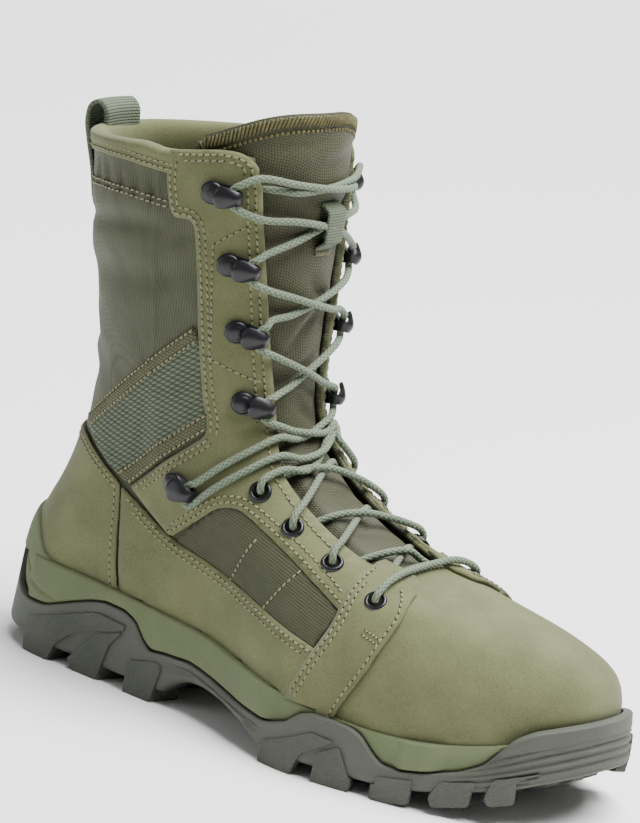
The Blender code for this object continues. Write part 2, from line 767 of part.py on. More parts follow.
def eyelet_hole_cutter(group):
    """Cutters for the eyelet holes through upper and eyestay."""
    work = bmesh.new()
    for side in (-1, 1):
        for x, z in EYELETS:
            point, ahead, across, out = frame_on(side, x, z)
            turn = Matrix((ahead, across, out)).transposed().to_4x4()
            bmesh.ops.create_cone(work, cap_ends=True, segments=8, radius1=HOLE_R * MM, radius2=HOLE_R * MM,
                                  depth=12.0 * MM, matrix=Matrix.Translation(to_scene(point)) @ turn)
    return add_object("eyelet_holes", work, group)


def eyelet(name, side, x, z, group, mat):
    """Turned ring: a flange on the eyestay and a barrel through the hole."""
    lay = SEAM + OVERLAY + EYELET_GAP
    barrel = HOLE_R - 0.45
    bore = EYELET_BORE - 0.35
    end = EYELET_SHORT - WALL
    profile = ((EYELET_R - 0.6, lay + EYELET_RIM), (EYELET_R, lay), (barrel, lay), (barrel, end),
               (bore, end), (bore, lay + EYELET_RIM))
    work = bmesh.new()
    verts = [work.verts.new((r * MM, 0.0, h * MM)) for r, h in profile]
    for i, vert in enumerate(verts):
        work.edges.new((vert, verts[(i + 1) % len(verts)]))
    item = add_object(name, work, group, mat)
    mod = item.modifiers.new("turn", "SCREW")
    mod.steps = EYELET_SIDES
    mod.render_steps = EYELET_SIDES
    mod.use_merge_vertices = True
    mod.merge_threshold = 0.00001
    stand_on(item, side, x, z)


def hook(name, side, x, z, group, mat):
    """Speed hook: a plate, a neck at the throat end and a lip that turns back over the lace."""
    lay = SEAM + OVERLAY + HOOK_GAP + 0.5 * HOOK_THICK
    work = bmesh.new()
    rows = len(HOOK_STRIP) - 1
    bmesh.ops.create_grid(work, x_segments=1, y_segments=rows, size=1.0)
    for vert in work.verts:
        along, height, half = HOOK_STRIP[round((vert.co.y + 1.0) * 0.5 * rows)]
        vert.co = (along * MM, vert.co.x * half * MM, (lay + height) * MM)
    item = add_object(name, work, group, mat)
    add_solidify(item, HOOK_THICK, 0)
    stand_on(item, side, x, z)


def arch(start, end, out, bulge, steps):
    """Path from start to end that bows outwards."""
    path = []
    for i in range(steps + 1):
        t = i / steps
        path.append(start * (1 - t) + end * t + out * bulge * 4.0 * t * (1 - t))
    return path


def lace_anchor(side, level, extra=0.0):
    """Place over the facing beside the throat edge."""
    around = around_at_width(side, level, throat_gap(side, level) + 1.5)
    return offset_point(around, level, LACE_LIFT + extra)


def lace_strand(first):
    """Path of one lace end, from side to side up the throat."""
    path = []
    side = first
    for i, level in enumerate(LACE_LEVELS):
        path.append(lace_anchor(side, level - LACE_TURN))
        path.append(lace_anchor(side, level + LACE_TURN))
        if i + 1 < len(LACE_LEVELS):
            middle = 0.5 * (level + LACE_LEVELS[i + 1])
            bow = LACE_BULGE * lookup(THROAT_GAPS, middle) + 0.4 * (first + 1)
            end = lace_anchor(-side, LACE_LEVELS[i + 1] - LACE_TURN)
            path.extend(arch(path[-1], end, normal(1.0, middle), bow, 3)[1:-1])
        side = -side
    return path


def build_lace(groups, mats):
    """Crossings of the lace over the throat, and the bars over the vamp and at the top."""
    lace = cord("lace", [lace_strand(-1)], LACE_R, 1, groups[0], mats["lace"])
    second = cord("lace_second", [lace_strand(1)], LACE_R, 1, groups[1])
    add_boolean(lace, second, "UNION")
    ends = []
    for side in (-1, 1):
        point, ahead, across, out = frame_on(side, *EYELETS[3])
        ends.append(point + out * (LACE_LIFT + 1.6) + ahead * 5.0)
    bar = arch(ends[0], ends[1], np.array((0.0, 0.0, 1.0)), 8.0, 6)
    cord("lace_bar_toe", [bar], LACE_R, 1, groups[0], mats["lace"])
    ends = [lace_anchor(side, 12.62, 1.4) for side in (-1, 1)]
    bar = arch(ends[0], ends[1], np.array((1.0, 0.0, 0.0)), 14.0, 8)
    cord("lace_bar_top", [bar], LACE_R, 1, groups[0], mats["lace"])


def build_loops(groups, mats):
    """Pull loop over the back of the collar: a band bent with the back."""
    back = ring_at(COLLAR)["back_x"]
    columns = 4

    def place(row, column):
        x, z = LOOP_PATH[row]
        y = LOOP_WIDTH * (column / columns - 0.5)
        return back + x + y * y / (2.0 * LOOP_CURVE), centre_line(back) + y, z

    loop = sheet("pull_loop", len(LOOP_PATH) - 1, columns, place, groups[0], mats["webbing"])
    add_solidify(loop, LOOP_THICK, 0)


def main():
    """Build every piece."""
    clear_scene()
    groups = (collection(BOOT, False), collection("cutters", True))
    mats = {
        "outsole": material("outsole_rubber", (0.20, 0.21, 0.19), 0.75),
        "midsole": material("midsole_foam", (0.23, 0.25, 0.16), 0.8),
        "insole": material("insole_cloth", (0.12, 0.12, 0.08), 0.9),
        "upper": material("upper_cloth", (0.13, 0.13, 0.07), 0.85),
        "tongue": material("tongue_cloth", (0.13, 0.13, 0.08), 0.85),
        "suede": material("suede", (0.27, 0.26, 0.15), 0.9),
        "webbing": material("webbing", (0.24, 0.27, 0.20), 0.85),
        "lace": material("lace_cord", (0.36, 0.42, 0.33), 0.8),
        "hook": material("black_metal", (0.03, 0.03, 0.035), 0.35, 0.6),
        "eyelet": material("gunmetal", (0.12, 0.12, 0.14), 0.3, 0.9),
    }
    eyelet_hole_cutter(groups[1])
    build_soles(groups, mats)
    build_upper(groups, mats)
    build_overlays(groups, mats)
    for name, side in (("outer", -1), ("inner", 1)):
        for i, (x, z) in enumerate(HOOKS):
            hook("hook_%s_%d" % (name, i + 1), side, x, z, groups[0], mats["hook"])
        for i, (x, z) in enumerate(EYELETS):
            eyelet("eyelet_%s_%d" % (name, i + 1), side, x, z, groups[0], mats["eyelet"])
    build_lace(groups, mats)
    build_loops(groups, mats)


main()
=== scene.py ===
"""Looks of a laced high boot for the right foot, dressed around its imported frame.

Tables are in millimetres: x to the toe, y to the inner side, z up from the floor.
"""
import logging
import math
from dataclasses import dataclass, field
from enum import Enum
from typing import Callable, Optional, Sequence

import bmesh
import bpy
import numpy as np
from mathutils import Matrix, Vector


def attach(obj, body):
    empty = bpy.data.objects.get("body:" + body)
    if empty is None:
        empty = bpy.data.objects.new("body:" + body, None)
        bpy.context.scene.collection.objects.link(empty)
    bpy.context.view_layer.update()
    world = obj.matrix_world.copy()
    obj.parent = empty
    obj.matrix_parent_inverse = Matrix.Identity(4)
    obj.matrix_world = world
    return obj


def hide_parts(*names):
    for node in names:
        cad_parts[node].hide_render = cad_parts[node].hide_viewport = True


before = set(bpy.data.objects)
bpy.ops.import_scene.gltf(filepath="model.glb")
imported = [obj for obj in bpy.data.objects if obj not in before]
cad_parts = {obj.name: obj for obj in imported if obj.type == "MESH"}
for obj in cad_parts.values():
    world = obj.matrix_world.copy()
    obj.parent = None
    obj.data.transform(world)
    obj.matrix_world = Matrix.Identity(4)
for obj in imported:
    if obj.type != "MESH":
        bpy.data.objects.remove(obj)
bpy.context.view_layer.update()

LOG = logging.getLogger("boot")
BODY = "root"
MM = 0.001
# Where the frame's origin is in the tables
ORIGIN = np.array((150.17, -0.25, 0.0))
# Shortest length that a vector is divided by
TINY = 1e-9

Array = np.ndarray
Table = Sequence[tuple[float, float]]
Outline = Sequence[tuple[float, float, float]]
Piece = bpy.types.Object
Mesh = bmesh.types.BMesh
Socket = bpy.types.NodeSocket


class Side(Enum):
    """Side of the right boot; the value is the sign of y."""

    OUTER = -1
    INNER = 1

    @property
    def far(self) -> "Side":
        """The other side."""
        return Side(-self.value)

    @property
    def tail(self) -> str:
        """Name of the side in the names of pieces."""
        return self.name.lower()


SIDES = (Side.OUTER, Side.INNER)


def to_scene(points: Array) -> Array:
    """Table millimetres to scene metres."""
    return (np.asarray(points, dtype=float) - ORIGIN) * MM


def ease(value: Array) -> Array:
    """Ease from 0 to 1."""
    t = np.clip(value, 0.0, 1.0)
    return t * t * (3.0 - 2.0 * t)


def read(table: Table, value: Array) -> Array:
    """Read a two-column table."""
    keys, found = np.array(table, dtype=float).T
    return np.interp(value, keys, found)


def read_soft(table: Table, value: Array, reach: float) -> Array:
    """Read a two-column table with its corners rounded over a reach on both sides."""
    total = np.zeros_like(np.asarray(value, dtype=float))
    steps = np.linspace(-1.0, 1.0, 9)
    weights = 1.0 - 0.85 * np.abs(steps)
    for step, weight in zip(steps, weights):
        total = total + weight * read(table, value + step * reach)
    return total / weights.sum()


def bell(value: Array, centre: float, width: float) -> Array:
    """Soft bump of height 1."""
    return np.exp(-(((value - centre) / width) ** 2))


def unit(vectors: Array) -> Array:
    """Directions of vectors, with length 1."""
    return vectors / np.maximum(np.linalg.norm(vectors, axis=-1, keepdims=True), TINY)


def alike(*values: Array) -> Sequence[Array]:
    """Arrays of numbers, brought to one shape."""
    return np.broadcast_arrays(*(np.asarray(value, dtype=float) for value in values))


def lengths(path: Array) -> Array:
    """Distance along a path at each of its points."""
    return np.concatenate(([0.0], np.cumsum(np.linalg.norm(np.diff(path, axis=0), axis=1))))


def between(t: Array, start: float, end: float, first: Array, last: Array) -> Array:
    """Straight mix of two places, the first at start and the last at end."""
    return (end - t) / (end - start) * first + (t - start) / (end - start) * last


def spline(points: Sequence[Sequence[float]], spacing: float) -> Array:
    """Smooth path through points.

    Args:
        points: Places the path runs through.
        spacing: Distance between the samples.

    Returns:
        Samples along the path, evenly spaced.
    """
    p = np.asarray(points, dtype=float)
    padded = np.vstack((2 * p[0] - p[1], p, 2 * p[-1] - p[-2]))
    steps = np.linalg.norm(np.diff(padded, axis=0), axis=1)
    knots = np.concatenate(([0.0], np.cumsum(np.sqrt(steps + TINY))))
    samples = 24
    runs = []
    for i in range(1, len(padded) - 2):
        t = np.linspace(knots[i], knots[i + 1], samples)[:, None]
        k0, k1, k2, k3 = knots[i - 1:i + 3]
        p0, p1, p2, p3 = padded[i - 1:i + 3]
        a1 = between(t, k0, k1, p0, p1)
        a2 = between(t, k1, k2, p1, p2)
        a3 = between(t, k2, k3, p2, p3)
        b1 = between(t, k0, k2, a1, a2)
        b2 = between(t, k1, k3, a2, a3)
        runs.append(between(t, k1, k2, b1, b2)[:-1])
    return respace(np.vstack(runs + [p[-1:]]), spacing)


def respace(path: Array, spacing: float) -> Array:
    """Sample a path at even distances."""
    along = lengths(path)
    count = max(int(round(along[-1] / spacing)), 2)
    wanted = np.linspace(0.0, along[-1], count + 1)
    return np.stack([np.interp(wanted, along, path[:, k]) for k in range(path.shape[1])], -1)


# Form of the last: the same named sizes as the solids have
RING_COLUMNS = ("back_x", "back_z", "front_x", "front_z", "sag", "back_r", "heel_w",
                "waist_w", "ball_out", "ball_in", "nose_out", "nose_in")
RINGS = (
    (9, 39, 288, 37, 13.5, 40, 33, 36, 53.5, 46, 105, 84),
    (11, 50, 289.5, 47, 11, 40, 34, 37, 53.5, 47, 105, 84),
    (15, 60, 284.5, 57, 6, 40, 33.5, 37, 50.5, 46, 104, 84),
    (19.5, 70, 270.5, 64.5, 3, 40, 32.5, 37, 46, 42.5, 100, 106),
    (23, 80, 249, 69.8, 1, 40, 31.5, 37, 42, 37, 94, 133),
    (25.5, 90, 223, 73.5, 0, 40, 31, 36.5, 39, 34, 86, 135),
    (27, 101, 198, 79.8, 0, 42, 31, 36, 36.5, 33, 78, 115),
    (27.5, 113, 172, 89, 0, 44, 31.5, 35.5, 35, 33, 68, 90),
    (27, 126, 149, 102, 0, 47, 33, 35, 34.5, 33.5, 58, 68),
    (25.5, 141, 131, 121, 0, 50, 35, 36, 35.5, 35, 52, 54),
    (22, 159, 127, 145, 0, 52, 37.5, 38, 37.5, 37.5, 50, 50),
    (18, 178, 126, 172, -1, 52, 40, 40.5, 40, 40, 50, 50),
    (15, 197, 126, 200, -2, 54, 41.5, 42, 41.5, 41.5, 52, 52),
    (13, 217, 126, 229, -3, 55, 42.5, 43, 42.5, 42.5, 53, 53),
    (12, 235, 125, 254, -3, 55, 43, 43.5, 43, 43, 53, 53),
)
THROAT_GAPS = ((0, 22), (5.5, 24), (6.2, 24), (7.2, 22.7), (8.1, 21.6), (8.6, 18), (9, 15.5),
               (9.5, 16), (10.4, 20), (11.3, 24.2), (12.2, 28.2), (12.6, 29.5), (12.85, 32), (14, 36))
# Share of that half width on the inner side, where the instep is narrower
INNER_GAPS = ((0, 0.78), (7.6, 0.8), (9, 1.0))
# Levels: the form's continuation under the feather, the foot of the throat, and the collar
LOWEST = -0.6
THROAT = 6.0
COLLAR = 13.0
BACK_ROUND = 2.1
NOSE_ROUND = 2.2
SAG_POWER = 2.4
# Middle line: where its swing starts, over what length, how far it goes on, and its first and swung y
SWING_START = 60.0
SWING_LENGTH = 230.0
SWING_LIMIT = 1.3
SWING_Y = (1.0, 8.5)
# Halvings of a search, and the steps around and up that a direction is read over
HALVINGS = 34
STEP_AROUND = 0.004
STEP_UP = 0.03


def to_turn(share: Array) -> Array:
    """Half turn, 0 at the back and 1 at the front, at a share of a ring's length."""
    return np.arccos(1.0 - 2.0 * share) / np.pi


def to_share(turn: Array) -> Array:
    """Share of a ring's length at a half turn."""
    return 0.5 * (1.0 - np.cos(np.pi * turn))


class Last:
    """Form of the foot that upper, panels and soles follow."""

    def __init__(self, rings: Sequence[Sequence[float]]) -> None:
        """Keep the ring table."""
        self.table = np.array(rings, dtype=float)

    def rows(self, level: Array) -> dict[str, Array]:
        """Ring sizes at levels, eased between the rows of the table."""
        last = len(self.table) - 1
        v = np.clip(np.asarray(level, dtype=float), LOWEST, last)
        i = np.clip(np.floor(v).astype(int), 0, last - 1)
        t = (v - i)[..., None]
        a, b = self.table[np.maximum(i - 1, 0)], self.table[i]
        c, d = self.table[i + 1], self.table[np.minimum(i + 2, last)]
        bend = (2 * a - 5 * b + 4 * c - d) * t ** 2
        twist = (3 * b - a - 3 * c + d) * t ** 3
        rows = 0.5 * (2 * b + (c - a) * t + bend + twist)
        return dict(zip(RING_COLUMNS, np.moveaxis(rows, -1, 0)))

    @staticmethod
    def centre_line(x: Array) -> Array:
        """Swing of the foot's middle line towards the inner side."""
        t = np.clip((x - SWING_START) / SWING_LENGTH, 0.0, SWING_LIMIT)
        return SWING_Y[0] + SWING_Y[1] * t * t

    @staticmethod
    def share_at(row: dict[str, Array], x: Array) -> Array:
        """Share of a ring's length at x."""
        return np.clip((x - row["back_x"]) / (row["front_x"] - row["back_x"]), 0.0, 1.0)

    @staticmethod
    def height_at(row: dict[str, Array], share: Array) -> Array:
        """Height of a ring at a share of its length."""
        straight = row["back_z"] + (row["front_z"] - row["back_z"]) * share
        return straight - row["sag"] * np.sin(np.pi * share ** SAG_POWER)

    def at_share(self, side: Array, share: Array, level: Array) -> tuple[Array, Array]:
        """Points and half widths at a share of each ring's length."""
        r = self.rows(level)
        length = r["front_x"] - r["back_x"]
        d = share * length
        nose = np.where(side < 0, r["nose_out"], r["nose_in"])
        ball = np.where(side < 0, r["ball_out"], r["ball_in"])
        start = length - nose
        middle = 0.5 * (r["back_r"] + start)
        rear = ease((d - r["back_r"]) / np.maximum(middle - r["back_r"], 1e-6))
        fore = ease((d - middle) / np.maximum(start - middle, 1e-6))
        width = np.where(d < middle, r["heel_w"] + (r["waist_w"] - r["heel_w"]) * rear,
                         r["waist_w"] + (ball - r["waist_w"]) * fore)
        heel = np.clip(1.0 - d / r["back_r"], 0.0, 1.0)
        toe = np.clip((d - start) / nose, 0.0, 1.0)
        width = width * (1.0 - heel ** BACK_ROUND) ** (1.0 / BACK_ROUND)
        width = width * (1.0 - toe ** NOSE_ROUND) ** (1.0 / NOSE_ROUND)
        x = r["back_x"] + d
        y = self.centre_line(x) + side * width
        return np.stack((x, y, self.height_at(r, share)), -1), width

    def at(self, around: Array, level: Array) -> Array:
        """Points of the last: around 0 back, 0.5 outer side, 1 front, 1.5 inner side."""
        around, level = alike(around, level)
        turn = np.mod(around, 2.0)
        side = np.where(turn <= 1.0, -1.0, 1.0)
        half = np.where(turn <= 1.0, turn, 2.0 - turn)
        return self.at_share(side, to_share(half), level)[0]

    def normal(self, around: Array, level: Array) -> Array:
        """Outward directions of the last's surface."""
        around, level = alike(around, level)
        low = np.maximum(level - STEP_UP, LOWEST)
        high = np.minimum(level + STEP_UP, len(self.table) - 1.0)
        rise = self.at(around, high) - self.at(around, low)
        return unit(np.cross(self.along(around, level), rise))

    def along(self, around: Array, level: Array) -> Array:
        """Short step around the last."""
        return self.at(around + STEP_AROUND, level) - self.at(around - STEP_AROUND, level)

    def offset(self, around: Array, level: Array, height: Array) -> Array:
        """Points at a height over the last."""
        height = np.asarray(height, float)
        return self.at(around, level) + self.normal(around, level) * height[..., None]

    def find(self, x: Array, z: Array) -> tuple[Array, Array]:
        """Share of the ring and level at points of the side view."""
        x, z = alike(x, z)
        low, high = np.full(x.shape, LOWEST), np.full(x.shape, len(self.table) - 1.0)
        for _ in range(HALVINGS):
            level = 0.5 * (low + high)
            row = self.rows(level)
            share = self.share_at(row, x)
            below = self.height_at(row, share) < z
            low, high = np.where(below, level, low), np.where(below, high, level)
        return share, level

    def place(self, side: Side, x: Array, z: Array) -> tuple[Array, Array]:
        """Around and level at points of the side view."""
        share, level = self.find(x, z)
        turn = to_turn(share)
        return (turn if side is Side.OUTER else 2.0 - turn), level

    def lay(self, side: Side, x: Array, z: Array, height: Array) -> Array:
        """Points over the last at points of the side view."""
        around, level = self.place(side, x, z)
        return self.offset(around, level, np.broadcast_to(height, np.shape(level)))

    def at_width(self, side: Array, level: Array, width: Array) -> Array:
        """Around towards the front of a ring where its half width has a given size."""
        side, level, width = alike(side, level, width)
        low, high = np.full(side.shape, 0.5), np.full(side.shape, 1.0)
        for _ in range(HALVINGS):
            mid = 0.5 * (low + high)
            wider = self.at_share(side, to_share(mid), level)[1] > width
            low, high = np.where(wider, mid, low), np.where(wider, high, mid)
        return np.where(side < 0, low, 2.0 - low)

    def on_top(self, x: Array, y: Array) -> tuple[Array, Array]:
        """Around and level of the instep at places of the plan."""
        x, y = alike(x, y)
        away = y - self.centre_line(x)
        side = np.where(away < 0.0, -1.0, 1.0)
        low, high = np.zeros(x.shape), np.full(x.shape, COLLAR - 1.0)
        for _ in range(HALVINGS):
            level = 0.5 * (low + high)
            share = self.share_at(self.rows(level), x)
            inside = self.at_share(side, share, level)[1] > np.abs(away)
            low, high = np.where(inside, level, low), np.where(inside, high, level)
        turn = to_turn(share)
        return np.where(side < 0, turn, 2.0 - turn), low

    def over(self, x: float, y: float, height: float) -> Array:
        """Point at a height over the instep at a place of the plan."""
        around, level = self.on_top(np.array([x]), np.array([y]))
        return self.offset(around, level, np.array([height]))[0]

    @staticmethod
    def gap(side: Array, level: Array) -> Array:
        """Half width of the throat on a side, negative for the outer one."""
        level = np.asarray(level, float)
        return read(THROAT_GAPS, level) * np.where(np.asarray(side) > 0, read(INNER_GAPS, level), 1.0)

    def throat_edge(self, side: Side, level: Array) -> Array:
        """Around of the throat edge."""
        return self.at_width(float(side.value), level, self.gap(side.value, level))

    def belt(self, heights: Table, reach: float, count: int) -> tuple[Array, Array]:
        """Line around the back, from the outer side to the inner.

        Args:
            heights: Table of x and z that the line follows on both sides.
            reach: How far forward it starts and ends.
            count: Number of points.

        Returns:
            Around and level of its points.
        """
        end = self.place(Side.OUTER, np.array([reach]), read(heights, np.array([reach])))[0][0]
        around = np.linspace(end, -end, count)
        level = np.full(count, THROAT)
        # A few rounds bring place and height together
        for _ in range(6):
            x = self.at(around, level)[:, 0]
            level = self.find(x, read(heights, x))[1]
        return around, level

    def frame_on(self, side: Side, x: float, z: float) -> tuple[Array, Array, Array, Array]:
        """Place on the upper: point, towards the throat, up, and outward."""
        around, level = self.place(side, np.array([x]), np.array([z]))
        point = self.at(around, level)[0]
        out = self.normal(around, level)[0]
        ahead = self.at(around - 0.01 * side.value, level)[0] - point
        ahead = unit(ahead - out * np.dot(ahead, out))
        return point, ahead, np.cross(out, ahead) * -side.value, out


LAST = Last(RINGS)


# Shading

class Tree:
    """Places and links nodes in one node tree."""

    def __init__(self, tree: bpy.types.NodeTree) -> None:
        """Keep the tree."""
        self.tree = tree

    def node(self, kind: str, inputs: Optional[dict] = None, **settings: object) -> bpy.types.Node:
        """Add a node, set its properties, and set or link its inputs."""
        node = self.tree.nodes.new(kind)
        for key, value in settings.items():
            setattr(node, key, value)
        for key, value in (inputs or {}).items():
            self.put(node.inputs[key], value)
        return node

    def put(self, socket: Socket, value: object) -> None:
        """Link a socket, or set its value."""
        if isinstance(value, Socket):
            self.tree.links.new(value, socket)
        else:
            socket.default_value = value

    def math(self, operation: str, first: object, second: object = 0.0) -> Socket:
        """Add a Math node and give its output."""
        return self.node("ShaderNodeMath", {0: first, 1: second}, operation=operation).outputs[0]

    def blend(self, factor: object, first: object, second: object) -> Socket:
        """Mix two colours."""
        node = self.node("ShaderNodeMix", data_type="RGBA")
        self.put(node.inputs[0], factor)
        self.put(node.inputs[6], first)
        self.put(node.inputs[7], second)
        return node.outputs[2]

    def noise(self, vector: object, scale: object, detail: float = 2.0) -> Socket:
        """Noise value around 0.5."""
        inputs = {"Vector": vector, "Scale": scale, "Detail": detail}
        return self.node("ShaderNodeTexNoise", inputs).outputs[0]

    def weigh(self, first: object, share: float, second: object, other: float) -> Socket:
        """Sum of two values, each times its share."""
        return self.math("ADD", self.math("MULTIPLY", first, share), self.math("MULTIPLY", second, other))

    def lobe(self, value: object) -> Socket:
        """Half wave over each whole step of a value."""
        return self.math("SINE", self.math("MULTIPLY", self.math("FRACT", value), math.pi))


def make_group(name: str, inputs: dict[str, float], outputs: Sequence[str],
               wire: Callable[[Tree, dict], dict]) -> bpy.types.NodeTree:
    """Make a shader node group.

    Args:
        name: Name of the group.
        inputs: Number inputs and their defaults; a Vector input comes first in every group.
        outputs: Names of its number outputs.
        wire: Gets the tree and the input sockets, and returns a socket for each output.

    Returns:
        The group's node tree.
    """
    tree = bpy.data.node_groups.new(name, "ShaderNodeTree")
    tree.interface.new_socket("Vector", in_out="INPUT", socket_type="NodeSocketVector")
    for key, value in inputs.items():
        socket = tree.interface.new_socket(key, in_out="INPUT", socket_type="NodeSocketFloat")
        socket.default_value = value
    for key in outputs:
        tree.interface.new_socket(key, in_out="OUTPUT", socket_type="NodeSocketFloat")
    entry = tree.nodes.new("NodeGroupInput")
    leave = tree.nodes.new("NodeGroupOutput")
    made = wire(Tree(tree), {socket.name: socket for socket in entry.outputs if socket.name})
    for key in outputs:
        tree.links.new(made[key], leave.inputs[key])
    return tree


def wire_nap(t: Tree, s: dict) -> dict:
    """Nap of suede: clouds, fine grain and dark specks."""
    clouds = t.noise(s["Vector"], s["Clouds"], 3.0)
    grain = t.noise(s["Vector"], s["Grain"], 2.0)
    fine = t.math("MULTIPLY", s["Grain"], 2.3)
    specks = t.math("GREATER_THAN", t.noise(s["Vector"], fine, 1.0), 0.66)
    tone = t.math("SUBTRACT", t.weigh(clouds, 0.55, grain, 0.45), t.math("MULTIPLY", specks, 0.24))
    return {"Tone": tone, "Height": t.math("ADD", grain, t.math("MULTIPLY", clouds, 0.3))}


def wire_weave(t: Tree, s: dict) -> dict:
    """Plain weave on a flat map: threads go over and under in turn."""
    split = t.node("ShaderNodeSeparateXYZ", {0: s["Vector"]})
    u = t.math("DIVIDE", split.outputs[0], s["Pitch"])
    v = t.math("DIVIDE", split.outputs[1], s["Pitch"])
    over = t.math("MODULO", t.math("ADD", t.math("FLOOR", u), t.math("FLOOR", v)), 2.0)
    over = t.math("ABSOLUTE", over)
    lobe_u, lobe_v = t.lobe(u), t.lobe(v)
    warp = t.math("MULTIPLY", lobe_u, t.math("ADD", t.math("MULTIPLY", lobe_v, 0.5), 0.5))
    weft = t.math("MULTIPLY", lobe_v, t.math("ADD", t.math("MULTIPLY", lobe_u, 0.5), 0.5))
    height = t.math("ADD", t.math("MULTIPLY", warp, over),
                    t.math("MULTIPLY", weft, t.math("SUBTRACT", 1.0, over)))
    patches = t.noise(s["Vector"], s["Clouds"], 3.0)
    return {"Tone": t.weigh(height, 0.6, patches, 0.4), "Height": height}


def wire_webbing(t: Tree, s: dict) -> dict:
    """Coarse webbing: rows of short slanted lumps."""
    split = t.node("ShaderNodeSeparateXYZ", {0: s["Vector"]})
    row = t.math("DIVIDE", split.outputs[1], s["Pitch"])
    run = t.math("DIVIDE", split.outputs[0], s["Pitch"])
    step = t.math("MULTIPLY", t.math("FLOOR", row), 0.5)
    lean = t.math("MULTIPLY", t.math("FRACT", row), s["Slant"])
    dash = t.math("ADD", t.math("MULTIPLY", run, 0.62), t.math("ADD", step, lean))
    lump = t.math("ABSOLUTE", t.math("SINE", t.math("MULTIPLY", dash, math.pi)))
    rib = t.lobe(row)
    hollow = t.math("MULTIPLY", t.math("SUBTRACT", 1.0, t.math("POWER", lump, 0.7)), s["Lump"])
    height = t.math("MULTIPLY", t.math("SUBTRACT", 1.0, hollow), t.math("POWER", rib, 0.6))
    patches = t.noise(s["Vector"], 140.0, 2.0)
    return {"Tone": t.weigh(height, 0.75, patches, 0.25), "Height": height}


def wire_moulded(t: Tree, s: dict) -> dict:
    """Moulded rubber or foam: faint clouds, a fine skin and a lattice of dots."""
    clouds = t.noise(s["Vector"], s["Clouds"], 3.0)
    skin = t.noise(s["Vector"], s["Skin"], 2.0)
    split = t.node("ShaderNodeSeparateXYZ", {0: s["Vector"]})
    across = t.math("ADD", split.outputs[1], split.outputs[2])
    rate = t.math("DIVIDE", math.pi, s["Dots"])
    one = t.math("SINE", t.math("MULTIPLY", t.math("ADD", split.outputs[0], across), rate))
    two = t.math("SINE", t.math("MULTIPLY", t.math("SUBTRACT", split.outputs[0], across), rate))
    dots = t.math("MULTIPLY", one, two)
    return {"Tone": t.weigh(clouds, 0.6, skin, 0.4), "Height": skin, "Lattice": t.math("ABSOLUTE", dots)}


class Effects:
    """Shader groups that several finishes share."""

    def __init__(self) -> None:
        """Build each group once."""
        both = ("Tone", "Height")
        self.nap = make_group("suede_nap", {"Clouds": 45.0, "Grain": 1500.0}, both, wire_nap)
        self.weave = make_group("plain_weave", {"Pitch": 0.0009, "Clouds": 60.0}, both, wire_weave)
        self.webbing = make_group("webbing", {"Pitch": 0.0016, "Slant": 0.55, "Lump": 1.0}, both,
                                  wire_webbing)
        self.moulded = make_group("moulded_skin", {"Clouds": 30.0, "Skin": 1500.0, "Dots": 0.0012},
                                  (*both, "Lattice"), wire_moulded)


EFFECTS = Effects()
SHEEN_ROUGHNESS = 0.6
Colour = tuple[float, float, float]


class Map(Enum):
    """Coordinates that a finish reads."""

    OBJECT = "Object"
    UV = "UV"


@dataclass(frozen=True)
class Finish:
    """Surface of one material.

    Attributes:
        name: Name of the material.
        dark: Colour in the hollows.
        light: Colour on the raised parts.
        effect: Shared group that makes tone and height.
        values: Inputs of that group.
        mapping: Coordinates that the group reads.
        low: Tone that gets the dark colour.
        high: Tone that gets the light colour.
        relief: Height of the bump in millimetres.
        strength: Strength of the bump.
        roughness: Roughness of the raised parts and of the hollows.
        metallic: Share of metal.
        sheen: Weight of the cloth sheen.
        specular: Level of the shine.
        height: Output of the group that makes the bump.
    """

    name: str
    dark: Colour
    light: Colour
    effect: bpy.types.NodeTree
    values: tuple[tuple[str, float], ...] = ()
    mapping: Map = Map.OBJECT
    low: float = 0.25
    high: float = 0.75
    relief: float = 0.1
    strength: float = 0.6
    roughness: tuple[float, float] = (0.75, 0.9)
    metallic: float = 0.0
    sheen: float = 0.0
    specular: float = 0.4
    height: str = "Height"

    def material(self) -> bpy.types.Material:
        """Make the material, or give it again where it exists."""
        found = bpy.data.materials.get(self.name)
        if found:
            return found
        mat = bpy.data.materials.new(self.name)
        mat.use_nodes = True
        tree = Tree(mat.node_tree)
        shader = mat.node_tree.nodes["Principled BSDF"]
        for key, value in (("Metallic", self.metallic), ("Sheen Weight", self.sheen),
                           ("Sheen Roughness", SHEEN_ROUGHNESS), ("Specular IOR Level", self.specular)):
            shader.inputs[key].default_value = value
        place = tree.node("ShaderNodeTexCoord").outputs[self.mapping.value]
        group = tree.node("ShaderNodeGroup", node_tree=self.effect)
        tree.put(group.inputs["Vector"], place)
        for key, value in self.values:
            group.inputs[key].default_value = value
        tone = tree.node("ShaderNodeMapRange", {"Value": group.outputs["Tone"], "From Min": self.low,
                                                "From Max": self.high}).outputs[0]
        tree.put(shader.inputs["Base Color"], tree.blend(tone, (*self.dark, 1.0), (*self.light, 1.0)))
        rough = tree.node("ShaderNodeMapRange", {"Value": tone, "To Min": self.roughness[1],
                                                 "To Max": self.roughness[0]}).outputs[0]
        tree.put(shader.inputs["Roughness"], rough)
        bump = tree.node("ShaderNodeBump", {"Height": group.outputs[self.height], "Strength": self.strength,
                                            "Distance": self.relief * MM})
        tree.put(shader.inputs["Normal"], bump.outputs[0])
        mat.diffuse_color = (*self.light, 1.0)
        return mat


